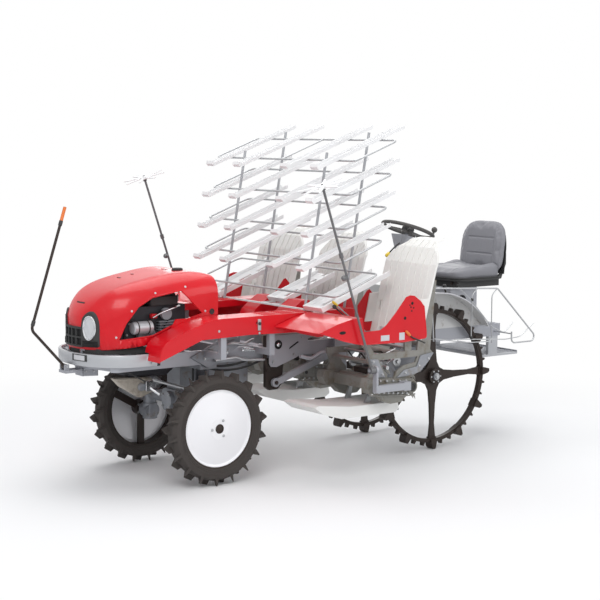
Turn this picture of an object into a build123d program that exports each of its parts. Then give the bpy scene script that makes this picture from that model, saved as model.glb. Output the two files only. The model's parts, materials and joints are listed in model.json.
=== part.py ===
"""Riding rice transplanter with three double planting units between its axles.

Millimetres. +X is the machine's left, +Y points to its rear, +Z is up, and the
origin is on the floor in the middle of the machine's length. Each function makes
one named piece, and the last lines write one STEP file for each.
"""
from build123d import *
from math import atan2, cos, degrees, hypot, pi, radians, sin
import os

# Wheels and axles
FRONT_AXLE_Y = -780.0
WHEELBASE = 1678.0
REAR_AXLE_Y = FRONT_AXLE_Y + WHEELBASE
FRONT_WHEEL_R = 325.0
FRONT_WHEEL_X = 410.0
FRONT_TYRE_WIDTH = 110.0
FRONT_CARCASS_R = 296.0
FRONT_BEAD_R = 228.0
FRONT_LUGS = 18
REAR_WHEEL_R = 463.0
REAR_WHEEL_X = 337.0
REAR_PADDLE_REACH = 42.0
REAR_RING_R = REAR_WHEEL_R - REAR_PADDLE_REACH
REAR_RING_T = 24.0
REAR_RING_WIDTH = 34.0
REAR_PADDLE_WIDTH = 62.0
REAR_PADDLES = 12
TEETH_BETWEEN = 2
RUN_GAP = 0.05
SEAT_GAP = 0.3

# Frame
RAIL_X = 280.0
RAIL_WIDTH = 24.0
RAIL_LOW = 670.0
RAIL_HIGH = 750.0
RAIL_FRONT = -640.0
RAIL_OVERHANG = 622.0
RAIL_REAR = WHEELBASE + RAIL_OVERHANG
BOLT_SPACING_X = 360.0
BOLT_SPACING_Z = 40.0
BOLT_HOLE_R = 5.5
BOLT_Z = 713.0
TIE_HOLE_R = 9.0
RAIL_IN = RAIL_X - RAIL_WIDTH / 2
RAIL_OUT = RAIL_X + RAIL_WIDTH / 2

# Steering and front axle
KINGPIN_X = 300.0
KINGPIN_R = 20.0
SLEEVE_R = 38.0
SLEEVE_LOW = 372.0
SLEEVE_HIGH = 500.0
STEER_ARM = 110.0
STEER_ARM_Z = 520.0
STEER_ARM_T = 18.0
TIE_ROD_R = 9.0
STUB_R = 24.0

# Lift linkage
LIFT_PIVOT_Y = FRONT_AXLE_Y + 485.0
LIFT_PIVOT_Z = 710.0
LOWER_PIVOT_Z = 525.0
LINK_LENGTH = 480.0
LINK_REST_DEG = 19.0
LINK_X = 312.0
LINK_T = 20.0
LINK_EYE_R = 26.0
LINK_PIN_R = 12.0
LINK_PLATE_T = 8.0
LINK_PIN_END = 5.7

# Planting units
UNIT_PITCH = 660.0
UNIT_SHIELD_WIDTH = 460.0
CASE_WIDTH = 64.0
CASE_X = 236.0
BEAM_Y = FRONT_AXLE_Y + 955.0
BEAM_Z = 545.0
BEAM_SIZE = 50.0
FLOAT_LOW = 372.0

# Line markers
MARKER_X = 935.0
MARKER_Y = FRONT_AXLE_Y + 705.0
MARKER_Z = 655.0
MARKER_LEAN = 19.0
MARKER_LENGTH = 1108.0
MARKER_WHEEL_R = 135.0
MARKER_PIN_R = 8.0

# Seedling rack
POST_X = 419.0
POST_R = 8.0
RACK_BAR_X = 712.0
RACK_ROD_R = 6.0
RACK_LEVELS = 5
RACK_PITCH = 192.0
RACK_SLOPE_DEG = 20.5
RAIL_CHANNEL = 68.0
RAIL_WALL = 22.0
BAR_AHEAD = 14.6

SKIN = 5.0

# Lamps
LAMP_X = 168.0
LAMP_Z = 902.0
LAMP_R = 47.0
BEZEL_LOW = 799.0
BEZEL_T = 10.0

# Red bodywork
DECK_IN = 314.0
DECK_OUT = 480.0
DECK_Z = 948.0
DECK_REAR = 940.0
BUMPER_IN = 327.0
BUMPER_LOW = 698.0
BUMPER_HEIGHT = 68.0
BONNET_PIVOT_Y = FRONT_AXLE_Y - 655.0
BONNET_PIVOT_Z = 782.0
POLE_PIVOT_Y = FRONT_AXLE_Y - 728.0
POLE_PIVOT_Z = 686.0


def at_axle(distance):
    """Y of a place this far behind the front axle."""
    return FRONT_AXLE_Y + distance


def at_rear(distance):
    """Y of a place this far behind the rear axle."""
    return REAR_AXLE_Y + distance


def block(x_low, x_high, y_low, y_high, z_low, z_high):
    """A box from its low corner to its high corner."""
    size = (x_high - x_low, y_high - y_low, z_high - z_low)
    centre = ((x_low + x_high) / 2, (y_low + y_high) / 2, (z_low + z_high) / 2)
    return Pos(*centre) * Box(*size)


def shaft(start, end, radius):
    """A round bar from start to end."""
    line = Vector(*end) - Vector(*start)
    place = Plane(origin=Vector(*start), z_dir=line.normalized())
    return place * Cylinder(radius, line.length, align=(Align.CENTER, Align.CENTER, Align.MIN))


def bent_rod(points, bend, radius):
    """A round rod along straight runs joined by arcs of one bend radius."""
    path = FilletPolyline(*points, radius=bend)
    start = Plane(origin=path @ 0, z_dir=path % 0)
    return sweep(start * Circle(radius), path=path)


def side_plate(outline, x_low, x_high):
    """A flat plate cut to an outline of (distance behind front axle, height)."""
    points = [(at_axle(y), z) for y, z in outline]
    face = make_face(Polyline(*points, close=True))
    return extrude(Plane.YZ.offset(x_low) * face, x_high - x_low)


def rear_plate(outline, x_low, x_high):
    """A flat plate cut to an outline of (distance behind rear axle, height)."""
    return side_plate([(WHEELBASE + y, z) for y, z in outline], x_low, x_high)


def curved_sheet(points, radii, thickness, x_low, x_high):
    """A sheet bent along a rounded line of (distance behind front axle, height)."""
    top = FilletPolyline(*[(at_axle(y), z) for y, z in points], radius=radii)
    low = FilletPolyline(*[(at_axle(y), z - thickness) for y, z in points], radius=radii)
    outline = [*top.edges(), Line(top @ 1, low @ 1), *low.edges(), Line(low @ 0, top @ 0)]
    return extrude(Plane.YZ.offset(x_low) * make_face(outline), x_high - x_low)


def skirt(points, radii, below, x_low, x_high):
    """A flat plate whose top follows a rounded line and whose lower edge is straight runs."""
    top = FilletPolyline(*[(at_axle(y), z) for y, z in points], radius=radii)
    low = Polyline(top @ 1, *[(at_axle(y), z) for y, z in below], top @ 0)
    return extrude(Plane.YZ.offset(x_low) * make_face([*top.edges(), *low.edges()]), x_high - x_low)


def mirrored(shape):
    """The same shape on the machine's other side."""
    return mirror(shape, about=Plane.YZ)


def pair(shape):
    """A left shape and its mirror image."""
    return [shape, mirrored(shape)]


def tube_x(x_low, x_high, y, z, radius, bore=0.0):
    """A round bar across the machine, with a bore if one is given."""
    bar = shaft((x_low, y, z), (x_high, y, z), radius)
    if bore:
        bar -= shaft((x_low - 1, y, z), (x_high + 1, y, z), bore)
    return bar


# Front wheels, modelled about the wheel's own centre with its axle along X

def front_tyre():
    """Tractor tyre: a round carcass with staggered bars out to the tips."""
    half = FRONT_TYRE_WIDTH / 2
    shoulder = FRONT_CARCASS_R - 14
    profile = make_face(Polyline(
        (FRONT_BEAD_R, -half + 16), (shoulder - 20, -half + 2), (shoulder, -half + 6),
        (FRONT_CARCASS_R, -half + 26), (FRONT_CARCASS_R, half - 26), (shoulder, half - 6),
        (shoulder - 20, half - 2), (FRONT_BEAD_R, half - 16), close=True))
    carcass = revolve(Plane.XY * profile, Axis.Y)
    lug_depth = FRONT_WHEEL_R - FRONT_CARCASS_R + 16
    bar = make_face(Polyline((-3, -15), (half - 2, 12), (half - 2, 34), (-3, 9), close=True))
    lug = extrude(Plane.XY * bar, lug_depth, taper=9)
    lug = Pos(0, 0, FRONT_WHEEL_R - lug_depth) * lug
    carcass = Rot(0, 0, 90) * carcass
    step = 360 / FRONT_LUGS
    lugs = []
    for index in range(FRONT_LUGS):
        lugs.append(Rot(index * step, 0, 0) * lug)
        lugs.append(Rot((index + 0.5) * step, 0, 0) * mirror(lug, about=Plane.YZ))
    return carcass + lugs


def front_rim():
    """Rim band with the spider and hub that carry it, all one dark casting."""
    half = FRONT_TYRE_WIDTH / 2 - 16
    band = tube_x(-half, half, 0, 0, FRONT_BEAD_R, FRONT_BEAD_R - 8)
    hub = tube_x(-34, 30, 0, 0, 46, STUB_R + RUN_GAP)
    arms = [Rot(index * 120 + 60, 0, 0) * block(-6, 6, -22, 22, 40, FRONT_BEAD_R - 7)
            for index in range(3)]
    return band + hub + arms - tube_x(-60, 60, 0, 0, STUB_R + RUN_GAP)


def front_disc():
    """Dished white cover disc on the outer face, with the hub cap in its middle."""
    half = FRONT_TYRE_WIDTH / 2 - 16
    profile = make_face(Polyline(
        (0, half + 6), (60, half + 6), (FRONT_BEAD_R - 24, half - 8), (FRONT_BEAD_R - 8.3, half - 4),
        (FRONT_BEAD_R - 8.3, half - 10), (FRONT_BEAD_R - 24, half - 14), (60, half), (0, half),
        close=True))
    return Rot(0, 0, -90) * revolve(Plane.XY * profile, Axis.Y)


# Rear wheels, also about their own centre

def rear_ring():
    """Lugged ring: a flat band with large paddles and small teeth between them."""
    half = REAR_RING_WIDTH / 2
    inner = REAR_RING_R - REAR_RING_T
    ring = tube_x(-half, half, 0, 0, REAR_RING_R, inner)
    paddle = make_face(Polyline(
        (-26, inner + 6), (26, inner + 6), (16, REAR_WHEEL_R - 12), (4, REAR_WHEEL_R),
        (-12, REAR_WHEEL_R - 2), (-20, REAR_RING_R + 8), close=True))
    paddle = extrude(Plane.YZ * paddle, REAR_PADDLE_WIDTH / 2, both=True)
    tooth = make_face(Polyline(
        (-14, inner + 8), (14, inner + 8), (6, REAR_RING_R + 22), (-4, REAR_RING_R + 22), close=True))
    tooth = extrude(Plane.YZ * tooth, REAR_RING_WIDTH / 2 - 3, both=True)
    step = 360 / REAR_PADDLES
    small = step / (TEETH_BETWEEN + 1)
    lugs = []
    for index in range(REAR_PADDLES):
        lugs.append(Rot(index * step, 0, 0) * paddle)
        lugs += [Rot(index * step + small * k, 0, 0) * tooth for k in range(1, TEETH_BETWEEN + 1)]
    return ring + lugs


def rear_spider():
    """Four tapered arms from a hub with concave webs, inside the lugged ring."""
    tip = REAR_RING_R - REAR_RING_T + 6
    plate = []
    for index in range(4):
        arm = make_face(Polyline(
            (-34, 0), (-22, 150), (-15, 300), (-24, tip - 24), (-30, tip - 8),
            (30, tip - 8), (24, tip - 24), (15, 300), (22, 150), (34, 0), close=True))
        web = make_face(Polyline((22, 170), (32, 90), (52, 52), (90, 32), (170, 22), (110, 0), (0, 0),
                                 (0, 110), close=True))
        plate += [Rot(index * 90, 0, 0) * extrude(Plane.YZ * face, 8, both=True) for face in (arm, web)]
    hub = tube_x(-32, 34, 0, 0, 48)
    ends = [Rot(index * 90, 0, 0) * block(-12, 12, -30, 30, tip - 16, tip) for index in range(4)]
    return hub + plate + ends - tube_x(-60, 60, 0, 0, STUB_R + RUN_GAP)


def rear_wheel():
    """The lugged ring on its spider, one welded wheel."""
    return rear_ring() + rear_spider()


# Front axle, knuckles and tie rod

def front_axle():
    """Gear case in the middle, axle tubes and the kingpin sleeves at their ends."""
    y, z = FRONT_AXLE_Y, 430.0
    case = block(-95, 95, y - 40, y + 110, z - 70, z + 62)
    case = fillet(case.edges().filter_by(Axis.Y), 30)
    nose = shaft((0, y - 70, z), (0, y - 40, z), 52)
    neck = block(-70, 70, y - 20, y + 90, z + 60, RAIL_LOW)
    tube = tube_x(-KINGPIN_X, KINGPIN_X, y, z, 34)
    body = case + nose + neck + tube
    for side in (-1, 1):
        body += shaft((side * KINGPIN_X, y, SLEEVE_LOW), (side * KINGPIN_X, y, SLEEVE_HIGH), SLEEVE_R)
    for side in (-1, 1):
        body -= shaft((side * KINGPIN_X, y, SLEEVE_LOW - 5), (side * KINGPIN_X, y, SLEEVE_HIGH + 5),
                      KINGPIN_R + RUN_GAP)
    yoke = block(-RAIL_IN, RAIL_IN, y - 20, y + 90, RAIL_LOW - 30, RAIL_LOW)
    return body + yoke + [block(s * RAIL_IN - 20, s * RAIL_IN + 20, y - 20, y + 90,
                                RAIL_LOW - 30, RAIL_LOW) for s in (-1, 1)]


def knuckle():
    """Left knuckle: kingpin, steering arm and the drop case with its stub axle."""
    x, y = KINGPIN_X, FRONT_AXLE_Y
    pin = shaft((x, y, SLEEVE_LOW - 20), (x, y, STEER_ARM_Z), KINGPIN_R)
    case = shaft((x, y, SLEEVE_LOW - 96), (x, y, SLEEVE_LOW - 2), 44)
    drum = tube_x(x - 34, FRONT_WHEEL_X - 58, y, FRONT_WHEEL_R, 46)
    stub = tube_x(x, FRONT_WHEEL_X + 32, y, FRONT_WHEEL_R, STUB_R)
    low, high = STEER_ARM_Z - STEER_ARM_T / 2, STEER_ARM_Z + STEER_ARM_T / 2
    arm = shaft((x, y, low), (x, y, high), 34) + block(x - 16, x + 16, y - STEER_ARM, y, low, high)
    arm += shaft((x, y - STEER_ARM, low), (x, y - STEER_ARM, high), 16)
    arm += shaft((x, y - STEER_ARM, high), (x, y - STEER_ARM, high + 26), 7)
    return pin + case + drum + stub + arm


def tie_rod():
    """Bar between the two steering arms, with an eye over each arm's pin."""
    y, z = FRONT_AXLE_Y - STEER_ARM, STEER_ARM_Z + STEER_ARM_T / 2 + 13
    rod = tube_x(-KINGPIN_X, KINGPIN_X, y, z, TIE_ROD_R)
    for side in (-1, 1):
        rod += shaft((side * KINGPIN_X, y, z - 11), (side * KINGPIN_X, y, z + 11), 15)
    for side in (-1, 1):
        rod -= shaft((side * KINGPIN_X, y, z - 15), (side * KINGPIN_X, y, z + 15), 7 + RUN_GAP)
    return rod


# Frame and driveline

CROSS_MEMBERS = (-420.0, -110.0, 180.0, 1420.0)


def nose_member():
    """Front cross member with the pole's bracket and the bonnet's hinge."""
    y_front = at_axle(RAIL_FRONT)
    end = RAIL_IN - SEAT_GAP
    body = block(-end, end, y_front, y_front + 40, RAIL_LOW + 6, RAIL_HIGH)
    body += block(-40, 40, POLE_PIVOT_Y - 14, y_front + 12, 650, 666)
    body += block(-40, 40, y_front, y_front + 12, 650, 690)
    for side in (-1, 1):
        x = side * 25.0
        body += block(x - 5, x + 5, POLE_PIVOT_Y - 14, POLE_PIVOT_Y + 14, 655, POLE_PIVOT_Z + 12)
        x = side * 70.0
        body += block(x - 5, x + 5, BONNET_PIVOT_Y - 8, y_front + 12, RAIL_HIGH - 40, BONNET_PIVOT_Z + 8)
    body += tube_x(-26, 26, POLE_PIVOT_Y, POLE_PIVOT_Z, 6)
    body -= shaft((0, at_axle(-668), 640), (0, at_axle(-668), 690), TIE_HOLE_R)
    return body + tube_x(-95, 95, BONNET_PIVOT_Y, BONNET_PIVOT_Z, 5)


def rear_member():
    """Rear cross member with its four bolt holes."""
    y_rear = at_axle(RAIL_REAR)
    end = RAIL_IN - SEAT_GAP
    body = block(-end, end, y_rear - 40, y_rear, RAIL_LOW + 6, RAIL_HIGH)
    for x in (-BOLT_SPACING_X / 2, BOLT_SPACING_X / 2):
        for z in (BOLT_Z - BOLT_SPACING_Z / 2, BOLT_Z + BOLT_SPACING_Z / 2):
            body -= shaft((x, y_rear - 60, z), (x, y_rear + 10, z), BOLT_HOLE_R)
    return body


def outriggers():
    """Left arms off the rail, the posts that carry the footboard, and the bumper's bracket."""
    low = RAIL_OUT + SEAT_GAP
    pieces = [block(low, BUMPER_IN - SEAT_GAP, at_axle(-400), at_axle(-360), 706, RAIL_HIGH)]
    for distance in (0.0, 330.0):
        y = at_axle(distance)
        pieces.append(block(low, 470, y, y + 36, RAIL_HIGH - 34, RAIL_HIGH))
        pieces.append(block(440, 470, y, y + 36, RAIL_HIGH + SEAT_GAP, DECK_Z - SKIN - SEAT_GAP))
    return pieces


def main_frame():
    """Two straight rails with their cross members, outriggers and the lift's cross tube."""
    end = RAIL_IN - SEAT_GAP
    pieces = [nose_member(), rear_member(), tube_x(-end, end, LIFT_PIVOT_Y, LIFT_PIVOT_Z, 24)]
    for distance in CROSS_MEMBERS:
        y = at_axle(distance)
        pieces.append(block(-end, end, y, y + 40, RAIL_LOW + 6, RAIL_HIGH))
    rail = block(RAIL_IN, RAIL_OUT, at_axle(RAIL_FRONT), at_axle(RAIL_REAR), RAIL_LOW, RAIL_HIGH)
    for piece in [rail, *outriggers()]:
        pieces += pair(piece)
    return pieces


def link_bracket():
    """Left plate below the rail with the lower link's pin, and the lift arm's pin on the rail."""
    end = LINK_X + LINK_T / 2 + LINK_PIN_END
    plate = side_plate([(430, RAIL_LOW), (430, 500), (455, 480), (515, 480), (545, 510), (560, RAIL_LOW)],
                       RAIL_IN, RAIL_OUT)
    plate += tube_x(RAIL_IN + 2, end, LIFT_PIVOT_Y, LOWER_PIVOT_Z, LINK_PIN_R)
    return [plate, tube_x(RAIL_OUT, end, LIFT_PIVOT_Y, LIFT_PIVOT_Z, LINK_PIN_R)]


def link_shield():
    """Left grey plate outside the lift arms, on the pivot pins' ends."""
    low = LINK_X + LINK_T / 2 + LINK_PIN_END + SEAT_GAP
    plate = side_plate([(423, 806), (435, 640), (450, 500), (470, 480), (505, 480), (530, 510),
                        (538, 640), (560, 706), (677, 750), (677, 806)], low, low + 6)
    return plate - tube_x(low - 5, low + 12, at_axle(489), 751, 24)


def gearbox():
    """Main transmission between the rails, ahead of the middle planting unit."""
    body = block(-150, 150, at_axle(130), at_axle(400), 440, RAIL_LOW + 5.7)
    body = fillet(body.edges().filter_by(Axis.X), 40)
    body += shaft((0, at_axle(110.3), 470), (0, at_axle(150), 470), 34)
    return body


def rear_axle():
    """Rear gear case hung from the rails, axle tubes and the two hub shafts."""
    y, z = REAR_AXLE_Y, REAR_WHEEL_R
    case = rear_plate([(-138, 669), (-138, 560), (-78, 380), (-18, 350), (52, 360), (112, 420),
                       (152, 560), (152, 669)], -110, 110)
    tube = tube_x(-296, 296, y, z, 44)
    hanger = [block(s * RAIL_X - 12, s * RAIL_X + 12, y - 40, y + 40, z, RAIL_LOW) for s in (-1, 1)]
    axle = tube_x(-REAR_WHEEL_X - 46, REAR_WHEEL_X + 46, y, z, STUB_R)
    cross = block(-RAIL_X, RAIL_X, y - 30, y + 30, RAIL_LOW - 40, RAIL_LOW)
    return case + tube + hanger + axle + cross


def engine():
    """The engine as one block at its real place and size."""
    return block(-190, 190, at_axle(-480), at_axle(-60), RAIL_HIGH, 1010)


# Front bodywork

def bumper():
    """Wide silver band bowed round the nose, ends turned back along the sides."""
    outer = FilletPolyline((BUMPER_IN + 18, at_axle(-337)), (BUMPER_IN + 18, at_axle(-640)), (230, at_axle(-690)),
                           (0, at_axle(-706)), (-230, at_axle(-690)), (-BUMPER_IN - 18, at_axle(-640)),
                           (-BUMPER_IN - 18, at_axle(-337)), radius=45)
    inner = FilletPolyline((-BUMPER_IN, at_axle(-337)), (-BUMPER_IN, at_axle(-632)), (-226, at_axle(-673)),
                           (0, at_axle(-688)), (226, at_axle(-673)), (BUMPER_IN, at_axle(-632)),
                           (BUMPER_IN, at_axle(-337)), radius=40)
    outline = [*outer.edges(), Line(outer @ 1, inner @ 0), *inner.edges(), Line(inner @ 1, outer @ 0)]
    return Pos(0, 0, BUMPER_LOW) * extrude(make_face(outline), BUMPER_HEIGHT)


BONNET_SECTIONS = (
    # distance behind front axle, half width, bottom, top, top corner radius
    (-672, 238, 786, 962, 92),
    (-610, 268, 788, 1048, 118),
    (-430, 288, 802, 1138, 138),
    (-150, 300, 850, 1190, 140),
    (92, 300, 940, 1172, 100),
)


def bonnet_loft(shrink, drop):
    """Loft through the arched sections, each drawn in by shrink."""
    faces = []
    for distance, half, low, high, corner in BONNET_SECTIONS:
        w, top, r = half - shrink, high - shrink, corner - shrink
        low -= drop
        line = Polyline((w, top - r), (w, low), (-w, low), (-w, top - r))
        left = RadiusArc((-w, top - r), (-w + r, top), r)
        crown = Line((-w + r, top), (w - r, top))
        right = RadiusArc((w - r, top), (w, top - r), r)
        at = distance + (shrink if distance == BONNET_SECTIONS[0][0] else 0)
        if drop and distance == BONNET_SECTIONS[-1][0]:
            at += 10
        plane = Plane(origin=(0, at_axle(at), 0), x_dir=(1, 0, 0), z_dir=(0, -1, 0))
        faces.append(plane * make_face([line, left, crown, right]))
    return loft(faces)


def bonnet():
    """Hollow red bonnet with its side windows cut."""
    shell = bonnet_loft(0, 0) - bonnet_loft(SKIN, 12)
    window = side_plate([(-545, 842), (-500, 930), (-420, 1020), (-330, 1066), (-150, 1096), (-20, 965),
                         (-120, 940), (-225, 905), (-330, 862)], -400, 400)
    body = shell - window
    for side in (-1, 1):
        x = side * 84.0
        lug = block(x - 5, x + 5, at_axle(-670), BONNET_PIVOT_Y + 12, BONNET_PIVOT_Z - 11, 830)
        body += lug
    return body - tube_x(-100, 100, BONNET_PIVOT_Y, BONNET_PIVOT_Z, 5 + RUN_GAP)


def headlamp_bezel():
    """Left black arch round the lamp, with slats below it."""
    y = at_axle(BONNET_SECTIONS[0][0] - SEAT_GAP)
    face = make_face([Polyline((105, 900), (105, BEZEL_LOW), (228, BEZEL_LOW), (228, 900)),
                      ThreePointArc((228, 900), (166, 968), (105, 900))])
    plane = Plane(origin=(0, y, 0), x_dir=(1, 0, 0), z_dir=(0, -1, 0))
    arch = plane * extrude(face, BEZEL_T)
    arch -= shaft((LAMP_X, y + 5, LAMP_Z), (LAMP_X, y - 20, LAMP_Z), LAMP_R + SEAT_GAP)
    for row in range(4):
        z = BEZEL_LOW + 7 + 11 * row
        arch -= block(117, 216, y - BEZEL_T - 5, y - BEZEL_T / 2, z, z + 6)
    return arch


def headlamp():
    """Left domed lamp in its bezel."""
    bead, depth = 6, 18
    dome_r = (LAMP_R ** 2 + depth ** 2) / (2 * depth)
    rim = Cylinder(LAMP_R, bead, align=(Align.CENTER, Align.CENTER, Align.MIN))
    cap = Pos(0, 0, bead + depth - dome_r) * Sphere(dome_r)
    front = Pos(0, 0, bead) * Cylinder(LAMP_R, 40, align=(Align.CENTER, Align.CENTER, Align.MIN))
    lens = rim + (cap & front)
    y = at_axle(BONNET_SECTIONS[0][0] - SEAT_GAP)
    return Plane(origin=(LAMP_X, y, LAMP_Z), x_dir=(1, 0, 0), z_dir=(0, -1, 0)) * lens


def main_pole():
    """Front sighting pole, bent forward and then up from its hinge."""
    y, z = POLE_PIVOT_Y, POLE_PIVOT_Z
    rod = bent_rod([(0, y - 8, z + 8), (0, at_axle(-927.46), 902), (0, at_axle(-714), 1567)], 40, 8)
    return rod + tube_x(-16, 16, y, z, 14) - tube_x(-30, 30, y, z, 6 + RUN_GAP)


DECK_LINE = ((-404, 737), (-385, 836), (-200, 905), (-60, DECK_Z), (DECK_REAR, DECK_Z))
DECK_BENDS = (90, 800, 400)


def footboard():
    """Left red deck with its outer flange, from the front skirt to the planting units."""
    deck = curved_sheet(DECK_LINE, DECK_BENDS, SKIN, DECK_IN, DECK_OUT)
    flange = skirt(DECK_LINE, DECK_BENDS, [(DECK_REAR, 838), (680, 832), (190, 845), (-130, 838)],
                   DECK_OUT - SKIN, DECK_OUT)
    inner = skirt(DECK_LINE, DECK_BENDS, [(DECK_REAR, 912), (190, 905), (-60, 893), (-200, 850), (-380, 760)],
                  DECK_IN, DECK_IN + SKIN)
    flange -= tube_x(DECK_OUT - 10, DECK_OUT + 10, at_axle(236), 909, 7)
    return deck + flange + inner - block(300, BUMPER_IN + 26, at_axle(-420), at_axle(-330), 650,
                                         BUMPER_LOW + BUMPER_HEIGHT + 8)


# Operator's place

def rear_fender():
    """Left light grey fender plate inside the rear wheel, with its arched flange."""
    y, z = REAR_AXLE_Y, REAR_WHEEL_R
    arc_r = REAR_WHEEL_R + 62
    disc = shaft((RAIL_OUT + SEAT_GAP, y, z), (RAIL_OUT + 4, y, z), arc_r)
    cut = block(RAIL_OUT - 5, RAIL_OUT + 20, y - 700, y + 700, z - 700, RAIL_HIGH)
    plate = disc - cut
    flange = tube_x(RAIL_OUT + SEAT_GAP, RAIL_OUT + 90, y, z, arc_r, arc_r - 4)
    wedge = block(0, 500, y - 330, y + 700, RAIL_HIGH, z + 700)
    return plate + (flange & wedge)


def step_plate():
    """Platform behind and between the rear wheels, hung from the rails."""
    deck = block(-RAIL_OUT, RAIL_OUT, at_rear(472), at_rear(782), 536, 550)
    sides = [block(s * RAIL_X - 12, s * RAIL_X + 12, at_rear(522), at_rear(602), 550, RAIL_LOW)
             for s in (-1, 1)]
    return deck + sides


def seat_post():
    """Grey box that carries the seat, with its round hole."""
    body = block(-130, 130, at_rear(332), at_rear(562), RAIL_HIGH, 985)
    body -= block(-124, 124, at_rear(338), at_rear(556), RAIL_HIGH - 5, 979)
    body -= shaft((-200, at_rear(432), 900), (200, at_rear(432), 900), 26)
    foot = [block(s * 90, s * RAIL_OUT, at_rear(322), at_rear(572), RAIL_HIGH, RAIL_HIGH + 8)
            if s > 0 else block(s * RAIL_OUT, s * 90, at_rear(322), at_rear(572), RAIL_HIGH,
                                RAIL_HIGH + 8) for s in (-1, 1)]
    return body + foot


def seat_base():
    """Dark pan under the cushion."""
    return block(-190, 190, at_rear(342), at_rear(702), 985, 1025)


def seat():
    """Grey bucket seat as one closed soft solid."""
    cushion = block(-225, 225, at_rear(307), at_rear(742), 1025.3, 1115)
    cushion = fillet(cushion.edges().filter_by(Axis.Z), 60)
    back = rear_plate([(652, 1090), (752, 1025.3), (777, 1060), (812, 1330), (812, 1400),
                       (772, 1410), (742, 1380), (692, 1140)], -215, 215)
    return cushion + back


WHEEL_CENTRE = (0.0, at_rear(74), 1362.0)
COLUMN_TILT = 20.0
COLUMN_DIR = (0.0, sin(radians(COLUMN_TILT)), cos(radians(COLUMN_TILT)))


def on_column(distance):
    """Point this far below the steering wheel's centre along the column."""
    return tuple(c - d * distance for c, d in zip(WHEEL_CENTRE, COLUMN_DIR))


def steering_column():
    """Column with the grey head below the wheel and its foot on the cross member."""
    tube = shaft(on_column(600), on_column(150), 26)
    head_low = Plane(origin=on_column(150), z_dir=COLUMN_DIR, x_dir=(1, 0, 0))
    head_high = Plane(origin=on_column(52), z_dir=COLUMN_DIR, x_dir=(1, 0, 0))
    head = loft([head_low * RectangleRounded(80, 70, 20), head_high * RectangleRounded(170, 150, 40)])
    foot = block(-90, 90, at_rear(-178), at_rear(-58), RAIL_HIGH + 20, RAIL_HIGH + 90)
    feet = block(-RAIL_OUT, RAIL_OUT, at_rear(-158), at_rear(-78), RAIL_HIGH, RAIL_HIGH + 22)
    spindle = shaft(on_column(60), on_column(-4), 10)
    return tube + head + foot + feet + spindle


def steering_wheel():
    """Wheel rim, three spokes, hub and the spinner knob."""
    plane = Plane(origin=WHEEL_CENTRE, z_dir=COLUMN_DIR, x_dir=(1, 0, 0))
    rim = Torus(166, 12)
    hub = Pos(0, 0, -8) * Cylinder(34, 40) - Cylinder(10 + RUN_GAP, 200)
    spokes = [Rot(0, 0, angle) * Pos(95, 0, -6) * Box(150, 22, 8) for angle in (90, 210, 330)]
    knob = Rot(0, 0, 60) * Pos(166, 0, 0) * (Pos(0, 0, 20) * Cylinder(7, 40) + Pos(0, 0, 50) * Sphere(19))
    wheel = rim + hub + spokes + knob - Pos(0, 0, -30) * Cylinder(10 + RUN_GAP, 64)
    return plane * wheel


# Spare seedling rack

def rack_level(level):
    """Height of the front bar and both bars' distances behind the front axle at a level."""
    z = 1820.0 - level * RACK_PITCH
    lean = 0.172
    front = 765.0 - lean * level * RACK_PITCH
    return front, z, front + 312.0, z + 312.0 * sin(radians(RACK_SLOPE_DEG)) / cos(radians(RACK_SLOPE_DEG))


def rack_posts():
    """Four leaning posts from the footboards to above the top level."""
    posts = []
    for side in (-1, 1):
        for rear in (0, 1):
            high = rack_level(0)
            low = rack_level(RACK_LEVELS - 1)
            y1, z1 = high[2 * rear], high[2 * rear + 1]
            y0, z0 = low[2 * rear], low[2 * rear + 1]
            slope = (y1 - y0) / (z1 - z0)
            foot = DECK_Z + SEAT_GAP + POST_R * slope
            top = z1 + 44
            posts.append(shaft((side * POST_X, at_axle(y0 + slope * (foot - z0)), foot),
                               (side * POST_X, at_axle(y1 + slope * 44), top), POST_R))
    return posts


def rack_loops():
    """Closed bent-rod loops, one for each level, in front of the posts."""
    loops = []
    for level in range(RACK_LEVELS):
        y0, z0, y1, z1 = rack_level(level)
        centre = ((y0 + y1) / 2 - BAR_AHEAD, (z0 + z1) / 2)
        depth = hypot(y1 - y0, z1 - z0)
        plane = Plane(origin=(0, at_axle(centre[0]), centre[1]), x_dir=(1, 0, 0),
                      z_dir=(0, -(z1 - z0), y1 - y0))
        outline = plane * RectangleRounded(2 * RACK_BAR_X, depth, 40).wire()
        edge = outline.edges()[0]
        start = Plane(origin=edge @ 0, z_dir=edge % 0)
        loop = sweep(start * Circle(RACK_ROD_R), path=outline)
        if level == 0:
            loop += shaft((0, at_axle(y0 - BAR_AHEAD), z0), (0, at_axle(y1 - BAR_AHEAD), z1), RACK_ROD_R - 1)
        loops.append(loop)
    return loops


RAIL_PLACES = (-540.0, -245.0, 245.0, 540.0)


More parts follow.
